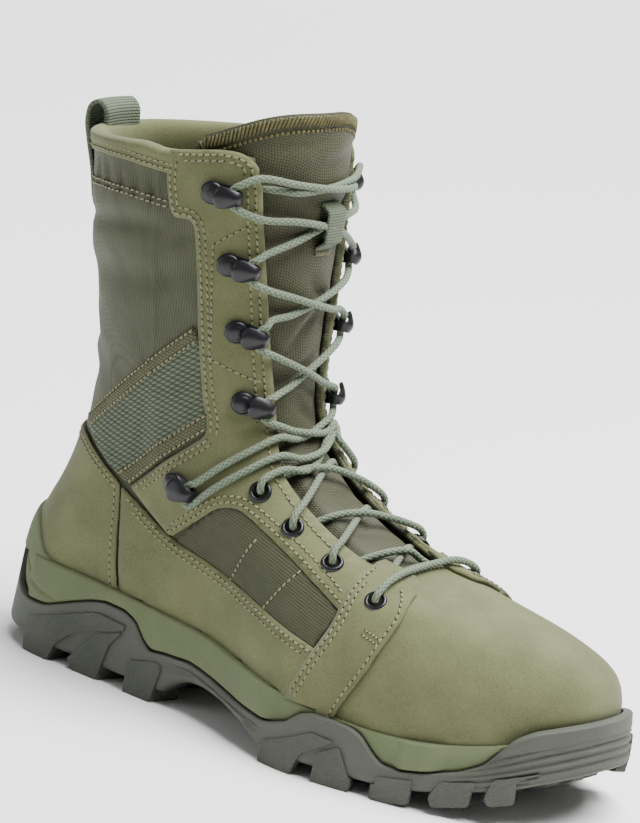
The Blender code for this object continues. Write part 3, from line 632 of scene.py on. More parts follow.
SUEDE = Finish(
    "olive_suede", (0.064, 0.070, 0.029), (0.147, 0.156, 0.070), EFFECTS.nap,
    (("Clouds", 42.0), ("Grain", 1500.0)), low=0.22, high=0.72, relief=0.14, strength=0.6,
    roughness=(0.8, 0.95), sheen=0.1, specular=0.25)
NYLON = Finish(
    "dark_olive_nylon", (0.011, 0.013, 0.005), (0.064, 0.071, 0.030), EFFECTS.weave,
    (("Pitch", 0.00125), ("Clouds", 55.0)), Map.UV, low=0.16, high=0.72, relief=0.22, strength=0.8,
    roughness=(0.55, 0.8), sheen=0.05, specular=0.35)
TONGUE_CLOTH = Finish(
    "tongue_nylon", (0.009, 0.010, 0.003), (0.050, 0.052, 0.019), EFFECTS.weave,
    (("Pitch", 0.00125), ("Clouds", 60.0)), Map.UV, low=0.16, high=0.72, relief=0.22, strength=0.8,
    roughness=(0.55, 0.8), sheen=0.05, specular=0.35)
LINING = Finish(
    "lining_cloth", (0.030, 0.029, 0.012), (0.085, 0.083, 0.036), EFFECTS.weave,
    (("Pitch", 0.0014), ("Clouds", 70.0)), Map.UV, relief=0.2, roughness=(0.85, 0.95))
WEBBING = Finish(
    "sage_webbing", (0.015, 0.021, 0.011), (0.092, 0.114, 0.067), EFFECTS.webbing,
    (("Pitch", 0.0018), ("Slant", 0.6)), Map.UV, low=0.12, high=0.8, relief=0.45, strength=0.9,
    roughness=(0.7, 0.9), sheen=0.05)
TAPE = Finish(
    "sage_tape", (0.020, 0.028, 0.015), (0.105, 0.130, 0.080), EFFECTS.webbing,
    (("Pitch", 0.0012), ("Slant", 0.0), ("Lump", 0.5)), Map.UV, low=0.12, high=0.85, relief=0.3,
    strength=0.9, roughness=(0.7, 0.9), sheen=0.05)
STRIP = Finish(
    "binding_strip", (0.022, 0.024, 0.009), (0.088, 0.092, 0.042), EFFECTS.webbing,
    (("Pitch", 0.0011), ("Slant", 0.2)), Map.UV, low=0.12, high=0.8, relief=0.25, strength=0.8,
    roughness=(0.65, 0.85))
RIBBED = Finish(
    "ribbed_band", (0.010, 0.011, 0.004), (0.052, 0.056, 0.025), EFFECTS.webbing,
    (("Pitch", 0.00105), ("Slant", 0.0), ("Lump", 0.2)), Map.UV, low=0.12, high=0.85, relief=0.3,
    strength=0.8, roughness=(0.65, 0.85))
CORD = Finish(
    "sage_cord", (0.048, 0.068, 0.042), (0.182, 0.226, 0.152), EFFECTS.weave,
    (("Pitch", 1.0), ("Clouds", 1.0)), Map.UV, low=0.1, high=0.85, relief=0.3, strength=0.9,
    roughness=(0.65, 0.85), sheen=0.05)
THREAD = Finish(
    "tan_thread", (0.140, 0.134, 0.070), (0.260, 0.248, 0.146), EFFECTS.nap,
    (("Clouds", 300.0), ("Grain", 4000.0)), relief=0.05, roughness=(0.6, 0.8))
EDGING = Finish(
    "overlock_thread", (0.022, 0.020, 0.005), (0.150, 0.138, 0.045), EFFECTS.nap,
    (("Clouds", 300.0), ("Grain", 3000.0)), relief=0.05, roughness=(0.6, 0.8))
BINDING = Finish(
    "binding_cloth", (0.016, 0.015, 0.004), (0.045, 0.042, 0.013), EFFECTS.nap,
    (("Clouds", 300.0), ("Grain", 3000.0)), relief=0.05, roughness=(0.7, 0.9))
# Near black, painted shade: lumps at the needle holes and discs inside the eyelets
HOLE_SHADE = Finish(
    "needle_hole", (0.003, 0.003, 0.002), (0.010, 0.010, 0.006), EFFECTS.moulded, roughness=(0.9, 1.0),
    specular=0.1)
FOAM = Finish(
    "moulded_foam", (0.088, 0.107, 0.051), (0.118, 0.142, 0.070), EFFECTS.moulded,
    (("Clouds", 60.0), ("Skin", 1200.0)), relief=0.14, strength=0.5, roughness=(0.75, 0.9))
RUBBER = Finish(
    "moulded_rubber", (0.047, 0.052, 0.040), (0.076, 0.082, 0.066), EFFECTS.moulded,
    (("Clouds", 35.0), ("Skin", 1400.0)), relief=0.16, strength=0.5, roughness=(0.6, 0.78))
LUG_RUBBER = Finish(
    "lug_rubber", (0.042, 0.046, 0.036), (0.072, 0.077, 0.063), EFFECTS.moulded,
    (("Clouds", 35.0), ("Skin", 1400.0), ("Dots", 0.0013)), relief=0.35, strength=0.7,
    roughness=(0.58, 0.76), height="Lattice")
BLACK_METAL = Finish(
    "coated_hook_metal", (0.004, 0.004, 0.005), (0.010, 0.010, 0.012), EFFECTS.moulded,
    (("Clouds", 200.0), ("Skin", 2500.0)), relief=0.02, roughness=(0.28, 0.38), specular=0.35)
GUNMETAL = Finish(
    "dark_eyelet_metal", (0.018, 0.018, 0.021), (0.045, 0.045, 0.052), EFFECTS.moulded,
    (("Clouds", 200.0), ("Skin", 2500.0)), relief=0.02, roughness=(0.22, 0.32), metallic=0.8)
FOOTBED = Finish(
    "footbed_cloth", (0.030, 0.030, 0.016), (0.080, 0.078, 0.045), EFFECTS.nap,
    (("Clouds", 90.0), ("Grain", 900.0)), relief=0.2, roughness=(0.85, 0.95))


# Mesh helpers

# Corners nearer than this are merged, and shorter edges are taken out, in metres
WELD = 2e-6
SHORT_EDGE = 1e-6
# How far a panel's wall reaches into the piece under it
SINK = 0.3
# Steps along the straight runs and the rounds of an outline, and the shortest step that stays
OUTLINE_STEP = 2.2
ROUND_STEP = 0.9
LEAST_STEP = 0.05
# Most of a side that the round of its corner takes
MOST_CUT = 0.49
# Pitch of the closer seams
CLOSE_PITCH = 2.6


def settle(item: Piece, slot: str, nodes: Sequence[str] = ()) -> Piece:
    """Let a piece ride on the boot and stand for its nodes."""
    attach(item, BODY)
    if nodes:
        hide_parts(*nodes)
    LOG.info("%s: %d faces", item.name, len(item.data.polygons))
    return item


def link(name: str, data: bpy.types.ID) -> Piece:
    """Put an object with this data in the scene."""
    item = bpy.data.objects.new(name, data)
    bpy.context.scene.collection.objects.link(item)
    return item


def make_object(name: str, work: Mesh, finishes: Sequence[Finish], sharp: float = 45.0) -> Piece:
    """Turn an edited mesh into a shaded object."""
    mesh = bpy.data.meshes.new(name)
    work.to_mesh(mesh)
    work.free()
    for finish in finishes:
        mesh.materials.append(finish.material())
    mesh.shade_smooth()
    mesh.set_sharp_from_angle(angle=math.radians(sharp))
    return link(name, mesh)


def thicken(item: Piece, thickness: float, side: float, inner: int = 0) -> None:
    """Give a sheet a wall; inner is the material step of its far face."""
    mod = item.modifiers.new("wall", "SOLIDIFY")
    mod.thickness = thickness * MM
    mod.offset = side
    mod.use_even_offset = False
    mod.material_offset = inner


def bevel(item: Piece, width: float, segments: int, angle: float = 30.0) -> None:
    """Round the edges of a piece that are sharper than an angle."""
    mod = item.modifiers.new("edge", "BEVEL")
    mod.width = width * MM
    mod.segments = segments
    mod.limit_method = "ANGLE"
    mod.angle_limit = math.radians(angle)


def lattice(points: Array, maps: Optional[Array] = None, keep: Optional[Callable[[int, int], bool]] = None,
            paint: Optional[Callable[[int, int], int]] = None) -> Mesh:
    """Grid whose corners go to given places.

    Args:
        points: Table places by row and column.
        maps: Flat map in metres by row and column.
        keep: Which cells stay.
        paint: Material number of a cell.

    Returns:
        The edited mesh.
    """
    rows, columns = points.shape[0] - 1, points.shape[1] - 1
    work = bmesh.new()
    layer = work.loops.layers.uv.new("UVMap")
    bmesh.ops.create_grid(work, x_segments=columns, y_segments=rows, size=0.5)
    spots = to_scene(points)
    where = {}
    for vert in work.verts:
        key = (round((vert.co.y + 0.5) * rows), round((vert.co.x + 0.5) * columns))
        where[vert] = key
        vert.co = spots[key]
    drop = []
    for face in work.faces:
        keys = [where[v] for v in face.verts]
        row, column = min(k[0] for k in keys), min(k[1] for k in keys)
        if keep is not None and not keep(row, column):
            drop.append(face)
            continue
        if paint is not None:
            face.material_index = paint(row, column)
        if maps is not None:
            for loop in face.loops:
                loop[layer].uv = maps[where[loop.vert]]
    if drop:
        bmesh.ops.delete(work, geom=drop, context="FACES")
    bmesh.ops.remove_doubles(work, verts=work.verts, dist=WELD)
    bmesh.ops.dissolve_degenerate(work, edges=work.edges, dist=SHORT_EDGE)
    return work


def closed(points: Array, maps: Optional[Array] = None, fill: bool = False) -> Mesh:
    """Grid that closes on itself, with its faces turned outwards; its ends can be filled."""
    work = lattice(points, maps)
    if fill:
        bmesh.ops.holes_fill(work, edges=[e for e in work.edges if e.is_boundary], sides=0)
    bmesh.ops.recalc_face_normals(work, faces=work.faces)
    return work


def arc_maps(points: Array) -> Array:
    """Flat map of a sheet from the distances along its rows and columns, in metres."""
    across = np.linalg.norm(np.diff(points, axis=1), axis=2)
    across = np.concatenate((np.zeros((len(points), 1)), np.cumsum(across, 1)), 1)
    across = across - across[:, across.shape[1] // 2:across.shape[1] // 2 + 1]
    along = np.linalg.norm(np.diff(points, axis=0), axis=2)
    along = np.concatenate((np.zeros((1, points.shape[1])), np.cumsum(along, 0)), 0)
    return np.stack((across, along), -1) * MM


def sheet(name: str, points: Array, finishes: Sequence[Finish], sharp: float = 45.0) -> Piece:
    """Sheet through rows of places."""
    return make_object(name, lattice(points, arc_maps(points)), finishes, sharp)


def template(shape: Callable[[Mesh], None]) -> tuple[Array, list[tuple[int, ...]]]:
    """Corners and faces of a small shape that is repeated."""
    work = bmesh.new()
    shape(work)
    work.verts.index_update()
    corners = np.array([v.co for v in work.verts])
    faces = [tuple(v.index for v in f.verts) for f in work.faces]
    work.free()
    return corners, faces


def scatter(name: str, kinds: Sequence[tuple[Array, list, Array]], finishes: Sequence[Finish]) -> Piece:
    """One joined mesh from many copies of small shapes.

    Args:
        name: Name of the object.
        kinds: For each shape its corners, its faces and the 3 by 4 placings of its copies.
        finishes: Finish of each shape.

    Returns:
        The object.
    """
    corners, faces, numbers = [], [], []
    count = 0
    for number, (shape, shape_faces, placings) in enumerate(kinds):
        for placing in placings:
            corners.append(shape @ placing[:, :3].T + placing[:, 3])
            faces.extend(tuple(i + count for i in face) for face in shape_faces)
            numbers.extend([number] * len(shape_faces))
            count += len(shape)
    mesh = bpy.data.meshes.new(name)
    mesh.from_pydata(to_scene(np.vstack(corners)).tolist(), [], faces)
    mesh.polygons.foreach_set("material_index", numbers)
    for finish in finishes:
        mesh.materials.append(finish.material())
    mesh.shade_smooth()
    return link(name, mesh)


def round_outline(corners: Outline) -> tuple[Array, list[int]]:
    """Outline with rounded corners.

    Args:
        corners: x, z and how far from each corner its round starts.

    Returns:
        Points of the outline, and the number of the point at each corner.
    """
    spots = np.array([c[:2] for c in corners], dtype=float)
    points, marks = [], []
    count = len(spots)
    for i, spot in enumerate(spots):
        cut = corners[i][2]
        before, after = spots[i - 1] - spot, spots[(i + 1) % count] - spot
        start = spot + before * min(cut / np.linalg.norm(before), MOST_CUT)
        end = spot + after * min(cut / np.linalg.norm(after), MOST_CUT)
        steps = max(int(cut / ROUND_STEP), 1)
        marks.append(len(points) + steps // 2)
        for t in np.linspace(0.0, 1.0, steps + 1):
            points.append((1 - t) ** 2 * start + 2 * t * (1 - t) * spot + t * t * end)
        far = spots[(i + 1) % count]
        back = spot - far
        stop = far + back * min(corners[(i + 1) % count][2] / np.linalg.norm(back), MOST_CUT)
        gaps = int(np.linalg.norm(stop - end) / OUTLINE_STEP)
        points.extend(end + (stop - end) * k / (gaps + 1) for k in range(1, gaps + 1))
    made = np.array(points)
    keep = np.linalg.norm(made - np.roll(made, 1, axis=0), axis=1) > LEAST_STEP
    moved = np.cumsum(keep) - 1
    return made[keep], [int(moved[m]) for m in marks]


def inset_line(outline: Array, start: int, end: int, distance: float) -> Array:
    """Line at a distance inside a stretch of an outline."""
    area = np.sum(outline[:, 0] * np.roll(outline[:, 1], -1) - np.roll(outline[:, 0], -1) * outline[:, 1])
    order = np.arange(start, end + 1 if end > start else end + 1 + len(outline)) % len(outline)
    run = outline[order]
    ahead = unit(np.gradient(run, axis=0))
    inward = np.stack((-ahead[:, 1], ahead[:, 0]), 1) * np.sign(area)
    line = run + inward * distance
    gaps = np.min(np.linalg.norm(line[:, None] - outline[None], axis=2), axis=1)
    # Places that come too near another part of the edge are left out
    slack = 0.25
    return line[gaps > distance - slack]


class Stitching:
    """Collects seams and makes them as joined threads, with near-black lumps of painted shade at their needle
    holes.
    """

    # Half length as a share of the pitch, half height, and height of the middle of a thread
    thread = (0.43, 0.42, 0.05)
    # Half length, half width, half depth, and height of the middle of the dark lump at a needle hole, which
    # is painted shade
    hole = (0.34, 0.36, 0.2, 0.02)

    def __init__(self, name: str, finish: Finish = THREAD) -> None:
        """Start with no seams."""
        self.name = name
        self.finish = finish
        self.threads: list[Array] = []
        self.holes: list[Array] = []

    def seam(self, path: Array, out: Array, pitch: float = 3.0, width: float = 0.95,
             lean: float = 0.14) -> None:
        """Add a row of stitches.

        Args:
            path: Places along the seam.
            out: Outward directions there.
            pitch: Length of a stitch and its gap.
            width: Width of the thread.
            lean: Turn of each stitch off the seam.
        """
        if len(path) < 3:
            return
        both = respace(np.hstack((path, out)), pitch * 0.5)
        # The odd samples are the middles of the stitches
        for i in range(1, len(both) - 1, 2):
            normal = unit(both[i, 3:])
            step = both[i + 1, :3] - both[i - 1, :3]
            ahead = unit(step)
            turned = ahead * math.cos(lean) + np.cross(normal, ahead) * math.sin(lean)
            across = np.cross(normal, turned)
            long, tall, lift = self.thread
            self.threads.append(np.stack((turned * long * np.linalg.norm(step), across * width * 0.5,
                                          normal * tall, both[i, :3] + normal * lift), 1))
            # Dark lump of painted shade at the needle hole before each stitch
            long, wide, deep, lift = self.hole
            self.holes.append(np.stack((ahead * long, across * wide, normal * deep,
                                        both[i - 1, :3] + normal * lift), 1))

    def on_last(self, around: Array, level: Array, height: Array, *looks: float) -> None:
        """Add a row at a height over the last; its looks are pitch, width and lean."""
        self.seam(LAST.offset(around, level, height), LAST.normal(around, level), *looks)

    def build(self, slot: str) -> Piece:
        """Make the joined mesh."""
        thread = template(lambda w: bmesh.ops.create_uvsphere(w, u_segments=7, v_segments=4, radius=1.0))
        # The needle holes are near-black lumps of painted shade
        hole = template(lambda w: bmesh.ops.create_uvsphere(w, u_segments=6, v_segments=3, radius=1.0))
        item = scatter(self.name, ((*thread, np.array(self.threads)), (*hole, np.array(self.holes))),
                       (self.finish, HOLE_SHADE))
        return settle(item, slot)


@dataclass
class Panel:
    """Panel cut from an outline of the side view and laid on the upper.

    Attributes:
        name: Name of the piece, without its side.
        outline: Corners with the start of their rounds.
        thick: Thickness over its base.
        base: Height of its underside over the last.
        step: Size of its cells.
        round_edge: How far in from the edge it is rounded.
        finish: Surface.
        slot: Material slot.
        turn: Turn of its flat map.
        points: Points of the rounded outline.
        marks: Number of the point at each corner.
    """

    name: str
    outline: Outline
    thick: float = 1.6
    base: float = 0.0
    step: float = 3.0
    round_edge: float = 0.8
    finish: Finish = SUEDE
    slot: str = "suede"
    turn: float = 0.0
    points: Array = field(init=False)
    marks: list[int] = field(init=False)

    def __post_init__(self) -> None:
        """Work out the rounded outline."""
        self.points, self.marks = round_outline(self.outline)

    def flat(self) -> Mesh:
        """Flat piece with two rims along its edge, cut into a grid."""
        work = bmesh.new()
        face = work.faces.new([work.verts.new((x, z, 0.0)) for x, z in self.points])
        face.normal_update()
        if face.normal.z < 0.0:
            face.normal_flip()
        for share in (0.3, 0.7):
            rim = share * self.round_edge
            bmesh.ops.inset_region(work, faces=[face], thickness=rim, use_even_offset=True)
        low, high = self.points.min(0), self.points.max(0)
        for axis, direction in enumerate((Vector((1.0, 0.0, 0.0)), Vector((0.0, 1.0, 0.0)))):
            for place in np.arange(low[axis] + 0.5 * self.step, high[axis], self.step):
                geom = work.verts[:] + work.edges[:] + work.faces[:]
                bmesh.ops.bisect_plane(work, geom=geom, dist=0.01, plane_co=direction * float(place),
                                       plane_no=direction)
        bmesh.ops.triangulate(work, faces=[f for f in work.faces if len(f.verts) > 4])
        return work

    def edge_distance(self, spots: Array) -> Array:
        """Distance of flat places from the outline."""
        start = self.points
        run = np.roll(start, -1, axis=0) - start
        length = np.maximum(np.sum(run * run, axis=1), 1e-12)
        best = np.full(len(spots), 1e9)
        for a, b, c in zip(start, run, length):
            t = np.clip(((spots - a) @ b) / c, 0.0, 1.0)
            best = np.minimum(best, np.linalg.norm(spots - a - t[:, None] * b, axis=1))
        return best

    def height(self, spots: Array) -> Array:
        """Height over the last at flat places, with a rounded edge."""
        share = np.clip(self.edge_distance(spots) / self.round_edge, 0.0, 1.0)
        deepest = 0.42 * self.thick
        return self.base + self.thick - deepest * rounding(share)

    def build(self, side: Side, nodes: Sequence[str] = ()) -> Piece:
        """Lay the panel on one side of the boot."""
        work = self.flat()
        layer = work.loops.layers.uv.new("UVMap")
        spots = np.array([v.co[:2] for v in work.verts])
        laid = to_scene(LAST.lay(side, spots[:, 0], spots[:, 1], self.height(spots)))
        c, s = math.cos(self.turn), math.sin(self.turn)
        for face in work.faces:
            for loop in face.loops:
                x, z = loop.vert.co[0] * MM, loop.vert.co[1] * MM
                loop[layer].uv = (x * c + z * s, z * c - x * s)
        for vert, spot in zip(work.verts, laid):
            vert.co = spot
        if side is Side.INNER:
            bmesh.ops.reverse_faces(work, faces=work.faces)
        item = make_object("%s_%s" % (self.name, side.tail), work, (self.finish,))
        thicken(item, self.thick + SINK, -1.0)
        return settle(item, self.slot, nodes)

    def stitch(self, side: Side, seams: Stitching, start: int, end: int, insets: Sequence[float],
               pitch: float = 3.0) -> None:
        """Sew along the edge from one corner of the outline to another."""
        for distance in insets:
            line = respace(inset_line(self.points, self.marks[start], self.marks[end], distance), 1.0)
            sew(seams, side, line, self.base + self.thick, pitch)


def sew(seams: Stitching, side: Side, line: Array, height: float, pitch: float = 3.0) -> None:
    """Sew along a line of the side view at a height over the last."""
    seams.on_last(*LAST.place(side, line[:, 0], line[:, 1]), height, pitch)


def rounding(share: Array) -> Array:
    """Drop of a rounded edge, 1 at the edge and 0 where the round ends."""
    return 1.0 - np.sqrt(1.0 - (1.0 - share) ** 2)


def throat_line(side: Side, low: float, high: float, count: int) -> list[tuple[float, float]]:
    """Throat edge in the side view between two levels."""
    level = np.linspace(low, high, count)
    spots = LAST.at(LAST.throat_edge(side, level), level)
    return [(float(x), float(z)) for x, z in spots[:, [0, 2]]]


# Upper

@dataclass
class Shell:
    """Wall of the upper: cloth shaft, suede vamp and lining."""

    wall: float = 2.2
    side_columns: int = 96
    throat_columns: int = 28
    levels: int = 118
    # Level of the wall's foot, and radius of the holes under the eyelets
    foot: float = -0.35
    hole: float = 2.9
    # How far forward the vamp's top edge runs across the instep
    vamp_edge: float = 197.5
    # Soft troughs and ridges of the shaft cloth: x, z, half length, half width, lean, depth
    creases: tuple = (
        (24, 160, 16, 6, -0.9, 2.2), (27, 142, 15, 5, -0.7, 1.8), (30, 186, 20, 4, 0.15, 1.7),
        (60, 192, 18, 4, 0.1, 1.4), (44, 168, 26, 7, 0.2, 1.6), (76, 172, 16, 5, 0.5, 1.4),
        (40, 126, 16, 5, 0.7, 1.6), (66, 150, 18, 6, 0.65, 1.3), (86, 192, 8, 3, 0.6, 1),
        (20, 176, 9, 3, 0.3, 1.2), (24, 204, 2, 6, 0.1, 1.2), (33, 206, 1.8, 6, -0.1, 1.3),
        (41, 207, 2, 6, 0.1, 1), (50, 208, 1.8, 6, 0, 1.3), (59, 208, 2, 6, -0.1, 1.1),
        (68, 208, 1.8, 6, 0.1, 1.2), (118, 72, 12, 3, -0.4, 0.5), (88, 98, 12, 3.5, 0.6, 0.8))
    # Front end of the creased cloth, and the highest that a ridge between creases stands
    creased: float = 128.0
    ridge: float = 0.25

    def relief(self, points: Array) -> Array:
        """Height of the creases, negative below the wall."""
        x, z = points[..., 0], points[..., 2]
        depth = np.zeros(x.shape)
        for cx, cz, long, wide, lean, deep in self.creases:
            c, s = math.cos(lean), math.sin(lean)
            run = (x - cx) * c + (z - cz) * s
            off = (z - cz) * c - (x - cx) * s
            trough = bell(run, 0.0, long) * (bell(off, 0.0, wide) - 0.35 * bell(off, 1.9 * wide, wide))
            depth = depth - deep * trough
        return np.where(x > self.creased, 0.0, np.minimum(depth, self.ridge))

    def places(self) -> tuple[Array, Array]:
        """Around and level of the wall's corners."""
        level = np.linspace(self.foot, COLLAR, self.levels + 1)[:, None]
        steps = np.linspace(0.0, 1.0, self.side_columns + 1)[None]
        outer = LAST.throat_edge(Side.OUTER, level) * steps
        inner = 2.0 - (2.0 - LAST.throat_edge(Side.INNER, level)) * steps[:, ::-1]
        share = np.linspace(-1.0, 1.0, self.throat_columns + 1)[None, 1:-1]
        risen = level + (self.edge_level(share[0])[None] - THROAT) * ease((level - 4.2) / 1.8)
        middle = LAST.at_width(np.sign(share), risen, np.abs(share) * LAST.gap(share, level))
        around = np.hstack((outer, middle, inner))
        flat = np.broadcast_to(level, outer.shape)
        return around, np.hstack((flat, risen, flat))

    def edge_level(self, share: Array) -> Array:
        """Level of the vamp's top edge across the throat, -1 to 1."""
        y = LAST.centre_line(np.array(self.vamp_edge)) + share * LAST.gap(share, THROAT)
        level = LAST.on_top(np.full(share.shape, self.vamp_edge), y)[1]
        return level + (THROAT - level) * ease((np.abs(share) - 0.8) / 0.2)

    def sew_vamp(self, seams: Stitching) -> None:
        """Two rows along the vamp's top edge."""
        share = np.linspace(-0.86, 0.86, 60)
        for drop in (0.0, 0.1):
            level = self.edge_level(share) - drop
            around = LAST.at_width(np.sign(share), level, np.abs(share) * LAST.gap(share, THROAT))
            seams.on_last(around, level, 0.0, CLOSE_PITCH)

    def build(self, seams: Stitching) -> Piece:
        """Make the wall; cells of the throat and the eyelet holes are left out."""
        self.sew_vamp(seams)
        around, level = self.places()
        base = LAST.at(around, level)
        points = base + LAST.normal(around, level) * self.relief(base)[..., None]
        middle = 0.25 * (base[:-1, :-1] + base[1:, :-1] + base[:-1, 1:] + base[1:, 1:])
        first, last = self.side_columns, self.side_columns + self.throat_columns
        holes = [LAST.frame_on(side, *spot)[0] for side in SIDES for spot in Hardware.eyelets]

        def keep(row: int, column: int) -> bool:
            """Whether a cell stays."""
            if first <= column < last and level[row, 0] >= THROAT - 1e-6:
                return False
            return all(np.linalg.norm(middle[row, column] - hole) > self.hole for hole in holes)

        def paint(row: int, column: int) -> int:
            """Suede on the vamp, which starts at a slanted line under the wing, and cloth behind it."""
            x, _, z = middle[row, column]
            return 1 if first <= column < last or x > 188.0 + 0.3 * (z - 29.0) else 0

        work = lattice(points, arc_maps(points), keep, paint)
        item = make_object("upper_wall", work, (NYLON, SUEDE, LINING, LINING), 60.0)
        thicken(item, self.wall, -1.0, 2)
        return settle(item, "upper_cloth", ("upper",))


# Place of the lowest eyelet in the table of eyelets
LOWEST_EYELET = 3


class Hardware:
    """Hooks and eyelets of both sides."""

    # Places on the side view, from the top down
    hooks = ((101.1, 213.8), (109.6, 185.4), (114.4, 158.4), (119.2, 129.0), (102.2, 90.6))
    eyelets = ((135.1, 97.1), (153.9, 87.2), (176.1, 79.0), (201.7, 71.1))
    # Bent strip of a hook: place along it towards the throat, height, half width
    strip = (
        (-9, 0, 1), (-8.7, 0, 2.6), (-7.2, 0, 4.1), (-4.6, 0, 4.8), (-1.8, 0, 4.4), (2.2, 0, 3.8),
        (5.4, 0.3, 2.9), (7.4, 1.5, 2.1), (8, 3, 1.9), (7, 4.6, 2.3), (4.6, 5.4, 3.2), (1.8, 5.7, 4.1),
        (-0.4, 5.8, 4.2), (-1.8, 5.8, 3), (-2.3, 5.8, 1.2))
    # Turned rivet over the plate: radius and height
    rivet = (
        (0, 2.5), (1.7, 2.45), (2.7, 2.2), (3.1, 1.8), (3.5, 1.75), (4.1, 1.5), (4.6, 0.9), (4.7, 0.2),
        (4.7, -0.5), (0, -0.5))
    # How far behind a hook's place its rivet is, and the height of the plate over the last
    rivet_back = 4.6
    lay = 2.5
    # Turned eyelet: radius and height around its rolled flange and its barrel
    flange = (
        (2.8, -2.4), (2.8, 1.2), (2.95, 2.2), (3.3, 2.65), (3.9, 2.75), (4.45, 2.4), (4.7, 1.75),
        (4.3, 1.5), (3.1, 1.3), (3.1, -2.4), (2.8, -2.4))
    # Dark disc of painted shade inside an eyelet, where the hole through it lies in shadow: radius, and its
    # height over one panel and over two
    shade_disc = 2.95
    shade_disc_heights = (1.85, 2.42)

    def hook(self, side: Side, number: int) -> Piece:
        """Speed hook: plate, neck and lip, with a rivet at its rear."""
        point, ahead, up, out = LAST.frame_on(side, *self.hooks[number])
        strip = spline(self.strip, 0.8)
        across = np.linspace(-1.0, 1.0, 9)
        crown = 0.25 * (1.0 - across ** 2)
        lift = np.clip((strip[:, 1] - 2.0) / 3.0, 0.0, 1.0)
        rise = self.lay + strip[:, 1:2] + crown[None] * (1.0 + 4.5 * lift[:, None])
        spots = (point + ahead * strip[:, 0, None, None] + up * (strip[:, 2:3] * across[None])[..., None]
                 + out * rise[..., None])
        work = lattice(spots)
        if side is Side.INNER:
            bmesh.ops.reverse_faces(work, faces=work.faces)
        name = "hook_%s_%d" % (side.tail, number + 1)
        item = make_object(name + "_plate", work, (BLACK_METAL,), 60.0)
        thicken(item, 1.5, 0.0)
        bevel(item, 0.45, 3)
        settle(item, "black_metal", (name,))
        middle = point - ahead * self.rivet_back + out * self.lay
        rivet = self.turned(middle, (ahead, up, out), self.rivet)
        return settle(make_object(name + "_rivet", rivet, (BLACK_METAL,), 50.0), "black_metal")

    def turned(self, middle: Array, axes: Sequence[Array], profile: Table) -> Mesh:
        """Round piece from a profile of radius and height that is turned about the outward axis."""
        ahead, up, out = axes
        turns = np.linspace(0.0, 2.0 * np.pi, 33)
        ring = np.array(profile)
        spots = (middle + (ahead * np.cos(turns)[:, None] + up * np.sin(turns)[:, None])[None]
                 * ring[:, 0, None, None] + out * ring[:, 1, None, None])
        return closed(spots)

    def eyelet(self, side: Side, number: int) -> Piece:
        """Turned eyelet: a rolled flange and a barrel through the panel, with a dark disc of painted shade
        inside.
        """
        point, *axes = LAST.frame_on(side, *self.eyelets[number])
        work = self.turned(point, axes, self.flange)
        name = "eyelet_%s_%d" % (side.tail, number + 1)
        # The lowest eyelet goes through the facing and the wing
        top = self.shade_disc_heights[1 if number == LOWEST_EYELET else 0]
        # A near-black disc inside the barrel is painted shade for the inside of the hole
        disc = ((0.0, top), (self.shade_disc, top), (self.shade_disc, top - 1.0), (0.0, top - 1.0))
        shade_disc = self.turned(point, axes, disc)
        settle(make_object(name + "_bore", shade_disc, (HOLE_SHADE,)), "gunmetal")
        return settle(make_object(name + "_ring", work, (GUNMETAL,), 50.0), "gunmetal", (name,))

    def build(self) -> None:
        """Make all hooks and eyelets."""
        for side in SIDES:
            for number in range(len(self.hooks)):
                self.hook(side, number)
            for number in range(len(self.eyelets)):
                self.eyelet(side, number)


